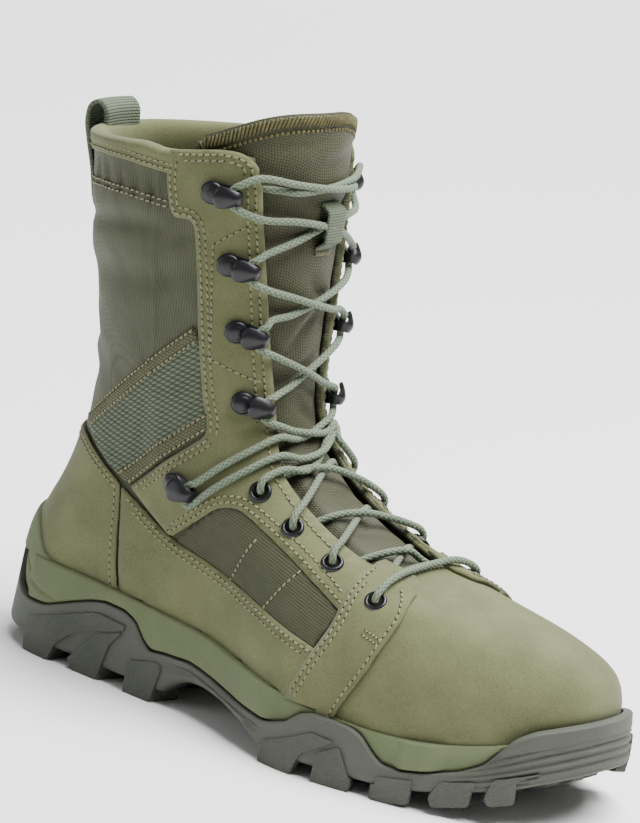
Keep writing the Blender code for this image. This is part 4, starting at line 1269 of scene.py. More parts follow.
class Panels:
    """Suede and webbing panels of both sides, with their seams."""

    # Levels between which the facing follows the throat
    throat_low = 6.25
    throat_high = 12.75
    # Distances of a double seam from the edge
    double = (2.0, 4.4)

    def eyestay(self, side: Side) -> Panel:
        """Facing with the slanted branch to the heel."""
        front = throat_line(side, self.throat_low, self.throat_high, 40)
        outline = [(75.5, 226.2, 0.4), (75.5, 214, 4), (78.6, 202.5, 3), (81.4, 199.2, 2),
                   (89.2, 200.4, 2.5), (91.3, 196, 4), (94.5, 177, 8), (97.4, 152, 8),
                   (101.6, 127.6, 4), (105.8, 118, 1.5), (106.4, 113.2, 2), (71.5, 81.8, 0.8),
                   (98.8, 68.6, 1.6), (121, 88, 5), (130, 89.6, 4), (154, 80.2, 8),
                   (181, 69.5, 3), (190, 65.6, 0.6), (203, 70, 0.6), (203, 75, 0.6)]
        outline += [(x, z, 0.0) for x, z in front]
        outline += [(111.6, 227.0, 4.0), (106.0, 231.6, 4.0), (98.0, 231.2, 3.0)]
        return Panel("eyestay_panel", outline, 1.6)

    def wing(self) -> Panel:
        """Panel from the lowest eyelet down to the sole."""
        outline = ((177.2, 20, 0.8), (199, 17, 0.8), (202, 28, 2), (212, 48.6, 9),
                   (216, 67.5, 4), (212.4, 73.4, 2.5), (205, 77, 3), (198, 79, 2),
                   (188, 81.6, 0.8), (190.4, 64, 6), (189.4, 57, 5), (178.2, 29.7, 3))
        return Panel("wing", outline, 1.35, 1.0)

    def foxing(self) -> Panel:
        """Quarter panel over the midsole."""
        outline = ((66.6, 80.6, 1), (72.3, 55, 8), (75.5, 38.4, 3), (76.6, 31, 0.6),
                   (121, 25.8, 8), (156, 21, 8), (180.6, 16, 0.6), (185.6, 42.2, 4),
                   (187.6, 49.6, 1.4), (99, 68.6, 5))
        return Panel("foxing_panel", outline, 1.5)

    def strap(self) -> Panel:
        """Webbing band across the ankle."""
        outline = ((40, 96.6, 0.5), (65, 84, 0.5), (105.2, 119.4, 0.5), (102.6, 127.8, 2),
                   (98.6, 152.4, 1), (94.6, 154.8, 0.5), (37.4, 99.6, 0.5))
        return Panel("strap_band", outline, 0.9, finish=WEBBING, slot="webbing", turn=0.75)

    def strips(self) -> list[Panel]:
        """Bindings along both edges of the strap."""
        corners = {"upper": ((37.6, 97.2), (42.4, 98.6), (97.4, 150.8), (94.8, 157.0), (34.6, 100.6)),
                   "lower": ((65.0, 84.2), (70.4, 82.2), (106.6, 115.6), (104.6, 123.0), (63.6, 86.4))}
        return [Panel("strap_binding_" + name, [(x, z, 0.4) for x, z in outline], 1.25, finish=STRIP,
                      slot="webbing", turn=0.76) for name, outline in corners.items()]

    def window(self) -> Panel:
        """Ribbed cloth in the window of the quarter."""
        corners = ((99, 66), (184, 45), (191, 66), (156, 83), (131, 91.5), (122, 91))
        return Panel("window_band", [(x, z, 0.4) for x, z in corners], 0.5, finish=RIBBED, slot="webbing",
                     turn=-0.276)

    def build(self, seams: Stitching) -> None:
        """Make and sew the panels of both sides."""
        for side in SIDES:
            self.window().build(side)
            for line in (((132.6, 60.0), (143.0, 82.0)), ((153.8, 54.0), (166.8, 75.0))):
                sew(seams, side, respace(np.array(line), 1.0), 0.55, CLOSE_PITCH)
            self.strap().build(side, ("strap_" + side.tail,))
            for strip in self.strips():
                strip.build(side)
                strip.stitch(side, seams, 1, 2, (1.0,), CLOSE_PITCH)
                strip.stitch(side, seams, 3, 4, (1.0,), CLOSE_PITCH)
            foxing = self.foxing()
            foxing.build(side, ("foxing_" + side.tail,))
            foxing.stitch(side, seams, 8, 0, self.double)
            eyestay = self.eyestay(side)
            eyestay.build(side, ("eyestay_" + side.tail,))
            last = len(eyestay.outline) - 1
            for start, end, insets in ((0, 10, self.double), (10, 11, self.double), (12, 17, self.double),
                                       (21, last - 3, (2.2,)), (37, last - 3, (4.6,)),
                                       (last - 3, last, (2.2, 4.6)), (last, 0, self.double)):
                eyestay.stitch(side, seams, start, end, insets)
            wing = self.wing()
            wing.build(side)
            wing.stitch(side, seams, 1, 6, (2.0,))
            wing.stitch(side, seams, 8, 11, (2.0, 4.3))
            # Slanted rows of the facing, and the tack of the wing
            for line in (((102.6, 152.0), (99.4, 192.5), (112.0, 203.5)), ((101.6, 146.0), (121.0, 138.4))):
                sew(seams, side, respace(np.array(line), 1.0), 1.6)
            for line in (((204.4, 61.3), (213.4, 59.0)), ((204.2, 59.5), (213.2, 57.2))):
                sew(seams, side, respace(np.array(line), 1.0), 2.35, 1.7)


@dataclass
class Counter:
    """Panel that wraps around the back of the heel.

    Attributes:
        top: Table of x and z of its top edge.
        edge: Table of z and x of its ends.
        corner: Height at which the top edge meets the ends.
        girth: Half length around the back, for the rounding of the ends.
        tall: Height, for the rounding of the top edge.
        swell: How much thicker its foot is; a swollen panel sinks away at both ends.
        round_edge: How far in from the edge it is rounded.
        edge_drop: How much lower the edge itself is.
        seam_end: Where the seams at both ends are, as a share of its length.
    """

    name: str = "counter_panel"
    finish: Finish = SUEDE
    slot: str = "suede"
    node: str = "counter"
    thick: float = 1.7
    top: tuple = ((0, 96), (31, 95.6), (40.5, 94.2), (52, 89), (63.8, 82.8), (68, 79.4), (80, 70))
    edge: tuple = ((30, 76.8), (38.4, 74.9), (55, 71.8), (79, 66.6))
    bottom: float = 31.0
    corner: float = 79.4
    girth: float = 85.0
    tall: float = 58.0
    swell: float = 0.0
    round_edge: float = 0.9
    edge_drop: float = 0.7
    seam_end: float = 0.968

    def places(self, along: Array, up: Array) -> tuple[Array, Array]:
        """Around and level of places along the panel, -1 to 1, and up it, 0 to 1."""
        edge_z = self.bottom + up * (self.corner - self.bottom)
        end = LAST.place(Side.OUTER, read(self.edge, edge_z), edge_z)[0]
        around = along * end
        level = np.full(np.shape(around), 2.0)
        # A few rounds bring place and height together
        for _ in range(8):
            x = LAST.at(around, level)[..., 0]
            z = self.bottom + up * (read_soft(self.top, x, 2.0) - self.bottom)
            level = LAST.find(x, z)[1]
        return around, level

    def build(self) -> Piece:
        """Make the panel."""
        rim = np.array((1.0, 0.9965, 0.990, 0.98))
        inside = np.linspace(-0.96, 0.96, 73)
        along = np.concatenate((-rim, inside, rim[::-1]))
        up = np.concatenate((np.linspace(0.0, 0.95, 27), (0.968, 0.982, 0.993, 1.0)))
        a, u = np.meshgrid(along, up)
        around, level = self.places(a, u)
        gap = np.minimum((1.0 - np.abs(a)) * self.girth, (1.0 - u) * self.tall)
        share = np.clip(gap / self.round_edge, 0.0, 1.0)
        height = self.thick - self.edge_drop * rounding(share) + self.swell * (1.0 - u)
        height = height - 3.2 * self.swell * ease((np.abs(a) - 0.82) / 0.18)
        points = LAST.offset(around, level, height)
        if self.swell > 0.0:
            # Its rim turns in to the panel behind it, which closes it
            points = np.concatenate((points, LAST.at(around[-1:], level[-1:])))
        item = sheet(self.name, points, (self.finish,))
        if self.swell == 0.0:
            thicken(item, self.thick + SINK, -1.0)
        return settle(item, self.slot, (self.node,))

    def stitch(self, seams: Stitching) -> None:
        """Sew two rows along the top and one at each end."""
        for row in (0.972, 0.935):
            self.sew(seams, np.linspace(-self.seam_end, self.seam_end, 160), np.full(160, row))
        for end in (-self.seam_end, self.seam_end):
            self.sew(seams, np.full(60, end), np.linspace(0.14, 0.97, 60))

    def sew(self, seams: Stitching, along: Array, up: Array) -> None:
        """Sew along a line of the panel."""
        seams.on_last(*self.places(along, up), self.thick)


# Foam of the midsole that runs up the back of the heel
HEEL_CUP = Counter(
    "heel_cup", FOAM, "midsole_foam", "midsole", thick=3.0,
    top=((0.0, 56.5), (18.0, 55.5), (24.0, 53.0), (27.0, 50.0), (29.5, 46.5), (33.0, 42.6), (39.5, 39.8),
         (47.0, 39.0), (54.0, 38.8)),
    edge=((30.0, 46.0), (50.0, 46.0)), bottom=32.0, corner=39.0, girth=58.0, tall=14.0, swell=1.5)


@dataclass
class Collar:
    """Padded suede roll along the top of the shaft."""

    lower: tuple = ((0, 204.5), (10, 208.6), (18, 211.4), (36, 214.6), (54, 216.2), (76, 216.2))
    # Profile: share of the outer band or height over the top line, and height over the last
    profile: tuple = (
        ("band", 0, 0), ("band", 0, 0.9), ("band", 0.05, 1.3), ("band", 0.25, 1.4), ("band", 0.45, 1.6),
        ("band", 0.62, 2.1), ("band", 0.78, 2.3), ("band", 0.9, 1.6), ("top", 3.2, -0.7), ("top", 2.7, -3),
        ("top", 1, -4.8), ("top", -2.5, -5.7), ("top", -7, -5.6), ("top", -12, -4.4), ("top", -15.5, -2.9),
        ("top", -15.5, -1), ("top", -6, -0.8))
    # Height of the roll over the top line, how far forward it reaches, and its seams a little less
    crown: float = 3.2
    reach: float = 79.0
    seam_reach: float = 77.0
    columns: int = 150

    def build(self, seams: Stitching) -> Piece:
        """Make the roll and the seams under it."""
        around, low = LAST.belt(self.lower, self.reach, self.columns)
        base = LAST.at(around, low)
        top_z = LAST.at(around, np.full(self.columns, COLLAR))[:, 2] - 2.5 * ease((base[:, 0] - 60.0) / 16.0)
        rows = []
        for anchor, rise, height in self.profile + self.profile[:1]:
            z = base[:, 2] + rise * (top_z + self.crown - base[:, 2]) if anchor == "band" else top_z + rise
            level = LAST.find(base[:, 0], z)[1]
            rows.append(LAST.offset(around, level, height))
        points = np.array(rows)
        item = make_object("collar_roll", closed(points, arc_maps(points), True), (SUEDE,), 50.0)
        soft = item.modifiers.new("soft", "SUBSURF")
        soft.levels = 1
        soft.render_levels = 1
        settle(item, "suede", ("cuff",))
        for drop, height in ((1.9, 1.45), (4.2, 1.55), (-11.4, 0.1), (-13.7, 0.1)):
            line = tuple((x, z + drop) for x, z in self.lower)
            seams.on_last(*LAST.belt(line, self.seam_reach, 220), height)
        return item


@dataclass
class Tongue:
    """Padded tongue behind the throat, with its bound top edge and the strip that keeps the lace."""

    foot: float = 5.05
    top: float = 13.72
    dip: float = 0.6
    skin: float = -2.7
    thick: float = 3.0
    spread: float = 1.32
    # Puff of its middle above the ankle, drop of its sides below it, and drop under the vamp's edge
    puff: float = 0.9
    side_drop: float = 3.1
    vamp_drop: float = 1.3
    # Folds of the cloth: level, share, depth, half height, lean
    folds: tuple = (
        (12.95, 0.05, 1, 0.12, 0.2), (11.85, -0.35, 1.4, 0.13, 0.5), (11, 0.3, 1.5, 0.14, -0.6),
        (10.55, -0.1, 1.3, 0.12, 0.7), (9.85, -0.25, 1.3, 0.12, 0.4), (9.2, 0.2, 1.1, 0.13, -0.4),
        (12.3, 0.65, 0.9, 0.12, -0.5), (13.25, -0.6, 0.8, 0.1, 0.2), (8.35, -0.1, 0.8, 0.1, 0.3),
        (7.75, 0.1, 0.8, 0.1, -0.2), (7.1, -0.1, 0.8, 0.1, 0.2), (6.5, 0.1, 0.7, 0.1, -0.2))
    # Strip that keeps the lace: x and z of its foot, its length, and its edges across the throat
    strip_foot: tuple = (126.0, 190.5)
    strip_length: float = 22.5
    strip_edges: tuple = (-0.13, 0.27)

    def across(self, level: Array, share: Array) -> Array:
        """Around of places across the throat, -1 to 1 between its edges."""
        gap = LAST.gap(share, level)
        side = np.where(share < 0.0, -1.0, 1.0)
        limit = 0.97 * LAST.at_share(side, np.full(np.shape(side), 0.55), level)[1]
        return LAST.at_width(side, level, np.minimum(np.abs(share) * gap, limit))

    def face(self, level: Array, share: Array) -> Array:
        """Height of the tongue's face over the last, without its folds."""
        away = np.abs(share)
        puff = self.puff * (1.0 - np.clip(away / 0.95, 0.0, 1.0) ** 2) * ease((level - 8.6) / 1.2)
        low = self.side_drop * ease((away - 0.62) / 0.3) * (1.0 - ease((level - 8.4) / 0.7))
        x = LAST.at(self.across(level, share), level)[..., 0]
        return self.skin + puff - low - self.vamp_drop * ease((x - 184.0) / 8.0)

    def height(self, level: Array, share: Array) -> Array:
        """Height of the tongue's face over the last."""
        made = self.face(level, share)
        for centre, where, deep, wide, lean in self.folds:
            run = level - centre - lean * (share - where)
            fold = bell(run, 0.0, wide) - 0.4 * bell(run, 2.0 * wide, wide)
            made = made - 1.35 * deep * fold * bell(share, where, 0.5)
        return made

    def crest(self, share: Array) -> Array:
        """Level of the top edge."""
        away = np.abs(share)
        return self.top - np.where(share < 0.0, 0.23 * away ** 3.5, self.dip * (away / 1.1) ** 2)

    def build(self, seams: Stitching, edging: Stitching) -> Piece:
        """Make the tongue, its binding and its strip."""
        share = np.linspace(-self.spread, self.spread, 61)
        up = np.linspace(0.0, 1.0, 131)
        s, t = np.meshgrid(share, up)
        level = self.foot + t * (self.crest(s) - self.foot)
        around = self.across(level, s)
        points = LAST.offset(around, level, self.height(level, s))
        item = sheet("tongue_pad", points, (TONGUE_CLOTH, LINING), 70.0)
        thicken(item, self.thick, -1.0, 1)
        settle(item, "tongue_cloth", ("tongue",))
        self.bind(edging)
        self.keeper(seams)
        return item

    def edge(self, drop: float, height: float, count: int) -> tuple[Array, Array]:
        """Line beside the top edge: places and outward directions."""
        share = np.linspace(-self.spread, self.spread, count)
        level = self.crest(share) - drop
        around = self.across(level, share)
        lift = self.height(level, share) + height
        return LAST.offset(around, level, lift), LAST.normal(around, level)

    def bind(self, edging: Stitching) -> None:
        """Overlocked threads over the top edge, and a chain stitch under them."""
        count = 220
        front, _ = self.edge(0.2, 0.2, count)
        crown, _ = self.edge(-0.015, -1.2, count)
        back, _ = self.edge(0.13, -self.thick - 0.2, count)
        bend = 2 * crown - 0.5 * (front + back)
        steps = np.linspace(0.0, 1.0, 9)
        points = np.array([(1 - t) ** 2 * front + 2 * t * (1 - t) * bend + t * t * back for t in steps])
        base = sheet("tongue_binding", points, (BINDING,), 70.0)
        thicken(base, 0.5, 0.0)
        settle(base, "tongue_cloth")
        middle, out = self.edge(0.095, 0.35, count)
        both = respace(np.hstack((middle, out)), 1.7)
        for i in range(1, len(both) - 1):
            normal = unit(both[i, 3:])
            ahead = unit(both[i + 1, :3] - both[i - 1, :3])
            slant = np.cross(normal, ahead) * 0.86 + ahead * 0.5
            edging.threads.append(np.stack((slant * 3.0, np.cross(normal, slant) * 0.56, normal * 0.55,
                                            both[i, :3]), 1))
        path, out = self.edge(0.245, 0.1, count)
        edging.seam(path, out, 2.2, 1.5, 0.35)

    def keeper(self, seams: Stitching) -> None:
        """Short strip on the tongue that keeps the lace, with its tacks."""
        rows = []
        for t in np.linspace(0.0, 1.0, 31):
            around, level, face = self.strip_row(t, 11)
            arch = 4.6 * ease((t - 0.1) / 0.2) * ease((1.0 - t) / 0.16)
            rows.append(LAST.offset(around, level, face + 0.7 + arch))
        item = sheet("lace_keeper_strip", np.array(rows), (TAPE,))
        thicken(item, 1.0, -1.0)
        settle(item, "webbing", ("lace_keeper",))
        for t in (0.02, 0.06):
            around, level, face = self.strip_row(t, 12)
            seams.on_last(around, level, face + 0.75, 1.5, 1.1)

    def strip_row(self, t: float, count: int) -> tuple[Array, Array, Array]:
        """Row across the strip at a share of its length: around, level, and height of the tongue's face."""
        x, z = self.strip_foot
        level = np.full(count, LAST.find(x, z + self.strip_length * t)[1])
        share = np.linspace(*self.strip_edges, count)
        return self.across(level, share), level, self.face(level, share)


class Lace:
    """One cord from the lowest eyelets up to the top hooks."""

    radius = 1.5
    # Corners of its section, threads around it, and length of a crossing of the braid
    corners = 13
    braids = 5.0
    braid_step = 2.6
    # Height at the throat's edges, rise where it crosses over the other strand, and sink under it
    edge_height = 3.6
    cross_rise = 2.6
    cross_sink = 0.4

    def __init__(self, tongue: Tongue) -> None:
        """Keep the tongue that it lies on."""
        self.tongue = tongue

    def middle(self, level: float, share: float, height: float) -> Array:
        """Place over the throat."""
        around = self.tongue.across(np.array([level]), np.array([share]))
        return LAST.offset(around, np.array([level]), np.array([height]))[0]

    def hooked(self, side: Side, number: int) -> list[Array]:
        """Bight behind the neck of a hook, from below to above."""
        point, ahead, up, out = LAST.frame_on(side, *Hardware.hooks[number])
        local = ((6.6, -4.9, 4.7), (4.9, -3.8, 5.0), (3.9, -2.2, 5.2), (3.6, 0.0, 5.2), (3.9, 2.2, 5.2),
                 (4.9, 3.8, 5.0), (6.6, 4.9, 4.7))
        return [point + ahead * a + up * u + out * h for a, u, h in local]

    def threaded(self, side: Side, number: int) -> list[Array]:
        """Way up through an eyelet, from under the facing to over its flange."""
        point, _, _, out = LAST.frame_on(side, *Hardware.eyelets[number])
        local = ((3.6, -0.8, -4.2), (1.0, -0.2, -3.9), (0.0, 0.0, -2.0), (0.1, 0.0, 1.6), (1.0, 0.6, 4.0),
                 (3.4, 2.0, 4.8))
        return [point + self.turned(side, number, a, u) + out * h for a, u, h in local]

    def turned(self, side: Side, number: int, inwards: float, rise: float) -> Array:
        """Step on the facing: towards the throat and up along it."""
        out = LAST.frame_on(side, *Hardware.eyelets[number])[3]
        into = np.array((0.0, -float(side.value), 0.0))
        into = unit(into - out * np.dot(into, out))
        along = np.cross(out, into) * side.value
        if along[2] < 0.0:
            along = -along
        return into * inwards + along * rise

    def instep(self, side: Side, number: int, over: bool) -> list[Array]:
        """Straight way from an eyelet to under the next one above it on the far side."""
        start = LAST.frame_on(side, *Hardware.eyelets[number])[0]
        end = LAST.frame_on(side.far, *Hardware.eyelets[number - 1])[0]
        middle = 1.9 if over else -1.1
        # From the lowest eyelet it comes up from under the facing
        first = ((0.14, 3.5), (0.31, 0.45 * middle + 1.5))
        if number == LOWEST_EYELET:
            first = ((0.1, -4.4), (0.26, -3.6), (0.38, -1.6))
        made = []
        for t, height in first + ((0.5, middle), (0.69, 0.5 * middle - 1.6), (0.86, -3.9)):
            x, y, _ = start + (end - start) * t
            made.append(LAST.over(x, y, height))
        return made

    def shin(self, start: float, end: float, side: Side, over: bool, rise: float = 0.0) -> list[Array]:
        """Way over the tongue from one facing's level to the other's."""
        made = []
        for share in (1.0, 0.6, 0.2, -0.2, -0.6, -1.0):
            level = start + (end - start) * 0.5 * (1.0 - share) + rise * (1.0 - share ** 2)
            rest = float(self.tongue.face(np.array([level]), np.array([0.0]))[0]) + self.radius
            rest = rest + (self.cross_rise * bell(share, 0.0, 0.45) if over else -self.cross_sink)
            height = rest * (1.0 - share ** 2) + self.edge_height * share ** 2
            made.append(self.middle(level, side.value * share, height))
        return made

    def facing(self, side: Side, start: Array, end: Array) -> list[Array]:
        """Places between two points, laid on the facing."""
        made = []
        for t in (0.35, 0.68):
            x, _, z = start + (end - start) * t
            made.append(LAST.lay(side, np.array([x]), np.array([z]), np.array([3.5]))[0])
        return made

    def strand(self, first: Side, over: bool) -> list[Array]:
        """Way of one end of the lace from its lowest eyelet to its top hook."""
        sides = (first, first.far)
        hole = LAST.frame_on(first, *Hardware.eyelets[LOWEST_EYELET])
        down = ((0.0, 0.0, 3.0), (0.0, 0.0, 0.5), (0.6, 0.2, -2.4))
        path = [hole[0] + self.turned(first, LOWEST_EYELET, a, u) + hole[3] * h for a, u, h in down]
        for step, number in enumerate((3, 2, 1)):
            path += self.instep(sides[step % 2], number, over)
            path += self.threaded(sides[(step + 1) % 2], number - 1)
            over = not over
        # The last eyelet is on the far side from the first, so its lowest hook is on the first side
        bight = self.hooked(first, 4)
        start, end = (8.65, 8.35) if first is Side.OUTER else (8.05, 8.8)
        edges = self.shin(start, end, sides[1], over)
        if first is Side.OUTER:
            path += self.facing(sides[1], path[-1], edges[0])
        path += edges
        path += self.facing(first, edges[-1], bight[0]) + bight
        edges = self.shin(8.72, 8.95, first, not over)
        path += self.facing(first, bight[-1], edges[0]) + edges
        levels = [float(LAST.find(*spot)[1]) for spot in Hardware.hooks]
        for step, number in enumerate((3, 2, 1, 0)):
            side = sides[(step + 1) % 2]
            path += self.hooked(side, number)
            if number:
                rise = 0.17 if number == 1 else 0.0
                path += self.shin(levels[number] + 0.26, levels[number - 1] - 0.26, side, over, rise)
            over = not over
        return path

    def tube(self, name: str, path: Sequence[Array], nodes: Sequence[str]) -> Piece:
        """Round cord along a path."""
        line = spline(path, 0.9)
        ahead = unit(np.gradient(line, axis=0))
        side = unit(np.cross(ahead[0], (0.0, 0.0, 1.0)))
        frames = []
        for direction in ahead:
            side = unit(side - direction * np.dot(side, direction))
            frames.append((side, np.cross(direction, side)))
        first, second = np.moveaxis(np.array(frames), 1, 0)[:, :, None]
        turns = np.linspace(0.0, 2.0 * np.pi, self.corners)[None, :, None]
        points = line[:, None] + self.radius * (first * np.cos(turns) + second * np.sin(turns))
        run = lengths(line)
        turn, along = np.meshgrid(np.linspace(0.0, self.braids, self.corners), run / self.braid_step)
        work = closed(points, np.stack((turn + along, turn - along), -1), True)
        LOG.info("%s: %.0f mm long", name, run[-1])
        return settle(make_object(name, work, (CORD,), 60.0), "lace_cord", nodes)

    def build(self) -> None:
        """Make both strands and the bars at toe and top."""
        self.tube("lace_strand_a", self.strand(Side.OUTER, False), ("lace",))
        self.tube("lace_strand_b", self.strand(Side.INNER, True), ("lace",))
        low = LOWEST_EYELET
        outer, inner = (LAST.frame_on(side, *Hardware.eyelets[low]) for side in SIDES)
        toe = [outer[0] + outer[3] * 1.0, outer[0] + outer[3] * 3.4 + self.turned(Side.OUTER, low, 0.6, 0.2)]
        for t, height in ((0.08, 4.6), (0.24, 4.2), (0.42, 2.6), (0.58, 2.6), (0.76, 4.2), (0.92, 4.6)):
            x, y, _ = outer[0] + (inner[0] - outer[0]) * t
            toe.append(LAST.over(x - 2.0 * math.sin(math.pi * t), y, height))
        toe += [inner[0] + inner[3] * 3.4 + self.turned(Side.INNER, low, 0.6, 0.2), inner[0] + inner[3] * 1.0]
        self.tube("lace_toe_bar", toe, ("lace_bar_toe",))
        # The two ends cross over the tongue and tuck under the far facing
        level = float(LAST.find(*Hardware.hooks[0])[1]) + 0.2
        for side, over in ((Side.OUTER, True), (Side.INNER, False)):
            end = level - 0.09
            path = self.hooked(side, 0)[-2:] + self.shin(level + 0.1, end, side, over)[:-1]
            path.append(self.middle(end, -1.05 * side.value, -3.8))
            path.append(self.middle(end - 0.05, -1.25 * side.value, -4.4))
            self.tube("lace_end_" + side.tail, path, ("lace_bar_top",))


@dataclass
class PullLoop:
    """Webbing loop at the back of the collar."""

    width: float = 21.5
    # Side view of the loop: x from the back line, and z
    path: tuple = (
        (-1.2, 189), (-2.6, 200), (-5.6, 212), (-7, 220), (-5.6, 226.2), (-1.4, 228.6), (2.4, 226),
        (3.2, 221), (3, 214), (2.6, 206))
    # Back line of the shaft: z and x
    back: tuple = ((185, 16.5), (197, 15), (217, 13), (235, 12))
    # Radius of its bend around the back, and y of its middle
    curve: float = 46.0
    middle: float = -0.8

    def build(self) -> Piece:
        """Make the loop."""
        line = spline(self.path, 1.2)
        across = np.linspace(-0.5, 0.5, 15) * self.width
        back = read(self.back, line[:, 1])
        x = back[:, None] + line[:, 0:1] + (across[None] ** 2) / (2.0 * self.curve)
        points = np.stack(alike(x, across[None] + self.middle, line[:, 1:2]), -1)
        item = sheet("pull_loop_band", points, (TAPE,))
        thicken(item, 1.7, 0.0)
        return settle(item, "webbing", ("pull_loop",))


@dataclass
class Sole:
    """Rubber outsole with its lugs, foam midsole and footbed."""

    lug_depth: float = 5.0
    rim_inner: float = 2.6
    columns: int = 360
    # Rise of the ground line: height, where it starts and over what length, at the toe and at the heel
    toe_spring: tuple = (22.0, 218.0, 77.0)
    heel_lift: tuple = (4.0, 16.0, 16.0)
    # Ribs of the toe bumper: depth, pitch, and height of the first and of the last
    rib_depth: float = 0.55
    rib_pitch: float = 3.4
    rib_low: float = 9.0
    rib_high: float = 21.0
    # Moulded lines of the arch: depth, half width, and how far under the top line they are
    line_depth: float = 0.7
    line_width: float = 0.45
    line_drops: tuple = (2.6, 4.4)
    # Top line of the outsole, x and z, and rise of its underside at the arch
    rim: tuple = (
        (0, 46), (10, 45), (14, 37), (17, 28), (20, 23.6), (24, 21.4), (29, 20.6), (40, 21.6), (52, 26.5),
        (64, 30.8), (72, 32.6), (83, 32), (89.5, 29), (94, 23), (98, 20), (106, 21), (120, 21.5),
        (136, 19.5), (159, 16.5), (172, 15.5), (178, 17.5), (182, 19), (187, 24), (193, 26), (203, 26),
        (211, 25), (215.5, 23), (220.5, 17.5), (225, 14), (233, 13.5), (242, 15), (254, 18.5), (262, 23),
        (266, 29), (270, 35.5), (275.5, 39.5), (282, 42), (288, 44), (296, 46))
    arch: tuple = (
        (105, 0), (111, 9), (120, 13.4), (131, 13.8), (145, 12.6), (156, 10.4), (164, 8), (173, 0))
    # Edge lugs: side, rear x, front x, reach inwards, shift of the inner end
    edge_lugs: tuple = (
        (-1, 33, 47, 15, 2), (-1, 58, 75, 16, 3), (-1, 89, 104, 16, 4), (-1, 174, 190, 20, -6),
        (-1, 198, 215, 21, -5), (-1, 223, 239, 20, -5), (-1, 246, 259, 16, -4), (-1, 264, 272, 12, -3),
        (1, 20, 41, 15, 2), (1, 47, 69, 16, 4), (1, 78, 103, 17, 6), (1, 170, 186, 20, 5),
        (1, 193, 212, 21, 6), (1, 219, 237, 20, 5), (1, 244, 259, 16, 2), (1, 266, 277, 12, -2))
    # Side faces of the outer lugs: x, z over the ground line, and how far the corner is rounded
    claws: tuple = (
        ((32.4, 14.4, 0.8), (33.4, 0, 0.6), (46.4, 0, 0.6), (49.2, 8, 1.5), (57.8, 15.3, 1.5),
         (70.6, 20.2, 1.5), (85, 24.6, 0.6), (85.2, 26.8, 0.6), (69.2, 27.6, 1.5), (56.2, 23.2, 1.5)),
        ((56.9, 3.8, 0.8), (60.8, 0, 0.6), (74.2, 0, 0.6), (78.6, 16.8, 0.8), (84.4, 23.4, 0.6),
         (69.6, 18.6, 0.8)),
        ((90.1, 13.8, 0.8), (89.4, 0, 0.6), (104, 0, 0.6), (107, 14.8, 0.8), (104.8, 17.2, 0.8)),
        ((173.8, 8.6, 0.8), (174, 0, 0.6), (189.5, 0, 0.6), (190.4, 3.8, 0.8), (192.8, 9.8, 1.2),
         (206, 18.2, 0.6), (195.2, 19, 0.8), (191, 16.8, 0.8)),
        ((199.8, 12.2, 0.8), (198.5, 0, 0.6), (214.6, 0, 0.6), (215.2, 3.4, 0.8), (208.2, 16.8, 0.8)),
        ((225.4, 9.6, 0.8), (223.6, 0, 0.6), (238.2, 0, 0.6), (238.8, 10.2, 0.8)),
        ((248.6, 10.4, 0.8), (245.2, 4.4, 0.8), (246.8, 0, 0.6), (259, 0, 0.6), (259.8, 10, 0.8)),
        ((265.4, 10.8, 0.8), (263.5, 3.2, 0.8), (265.2, 0, 0.6), (272.2, 0, 0.6), (272, 9.6, 0.8),
         (278, 11, 0.6)),
    )
    # Middle lugs: x, y, length, width, slant of the front end
    middle_lugs: tuple = (
        (160, 17, 20, 12, 5), (183, 20, 20, 14, 4), (206, 22, 18, 15, 4), (227, 22, 17, 14, 4),
        (251, -3, 8, 8, 1), (251, 9, 8, 8, 1), (261, -3, 8, 8, 1), (261, 9, 8, 8, 1), (261, 20, 8, 7, 1),
        (271, 1, 8, 8, 1), (271, 13, 8, 8, 1), (280, 6, 6, 8, 1), (280, 16, 6, 7, 1), (24, 0, 16, 16, 3),
        (50, 4, 16, 10, -4), (72, 3, 18, 9, 5), (96, -2, 12, 18, 3))
    # Rear points of the chevrons, and the corners of one around its point
    chevrons: tuple = ((162, -10), (179, -9), (196, -8), (213, -7), (230, -6))
    chevron: tuple = ((0, -11), (6.5, -11), (14.5, 0), (6.5, 11), (0, 11), (8, 0))
    # Moulded line in the heel of the midsole, x and z
    heel_groove: tuple = ((13, 40), (18.7, 35.1), (26.8, 30.5), (36, 27.1), (49.4, 25))

    def ground(self, x: Array) -> Array:
        """Height of the tread's ground line."""
        tall, start, length = self.toe_spring
        toe = tall * (np.maximum(x - start, 0.0) / length) ** 2
        tall, start, length = self.heel_lift
        return toe + tall * (np.maximum(start - x, 0.0) / length) ** 1.5

    def floor(self, x: Array) -> Array:
        """Height of the underside between the lugs."""
        return self.ground(x) + np.maximum(self.lug_depth, read_soft(self.arch, x, 4.0))

    def rim_top(self, x: Array) -> Array:
        """Height of the outsole's top line."""
        return np.maximum(read_soft(self.rim, x, 2.0), self.floor(x) + 2.5)

    def flare(self, x: Array) -> Array:
        """Extra width at the ball and the toe bumper."""
        return 2.4 * ease((x - 252.0) / 22.0) + 1.6 * bell(x, 190.0, 16.0)

    def lean(self, x: Array) -> Array:
        """How far the heel tab leans in."""
        return 1.3 * ease((20.0 - x) / 8.0)

    def plan(self, around: Array) -> tuple[Array, Array]:
        """Feather points and outward directions in plan."""
        run = unit(LAST.along(around, 0.0)[..., :2])
        return LAST.at(around, 0.0), np.stack((run[..., 1], -run[..., 0]), -1)

    def ring(self, around: Array, offset: Array, height: Array) -> Array:
        """Points beside the sole outline."""
        point, out = self.plan(around)
        spot = point[..., :2] + out * np.broadcast_to(offset, around.shape)[..., None]
        return np.concatenate((spot, np.broadcast_to(height, around.shape)[..., None]), -1)

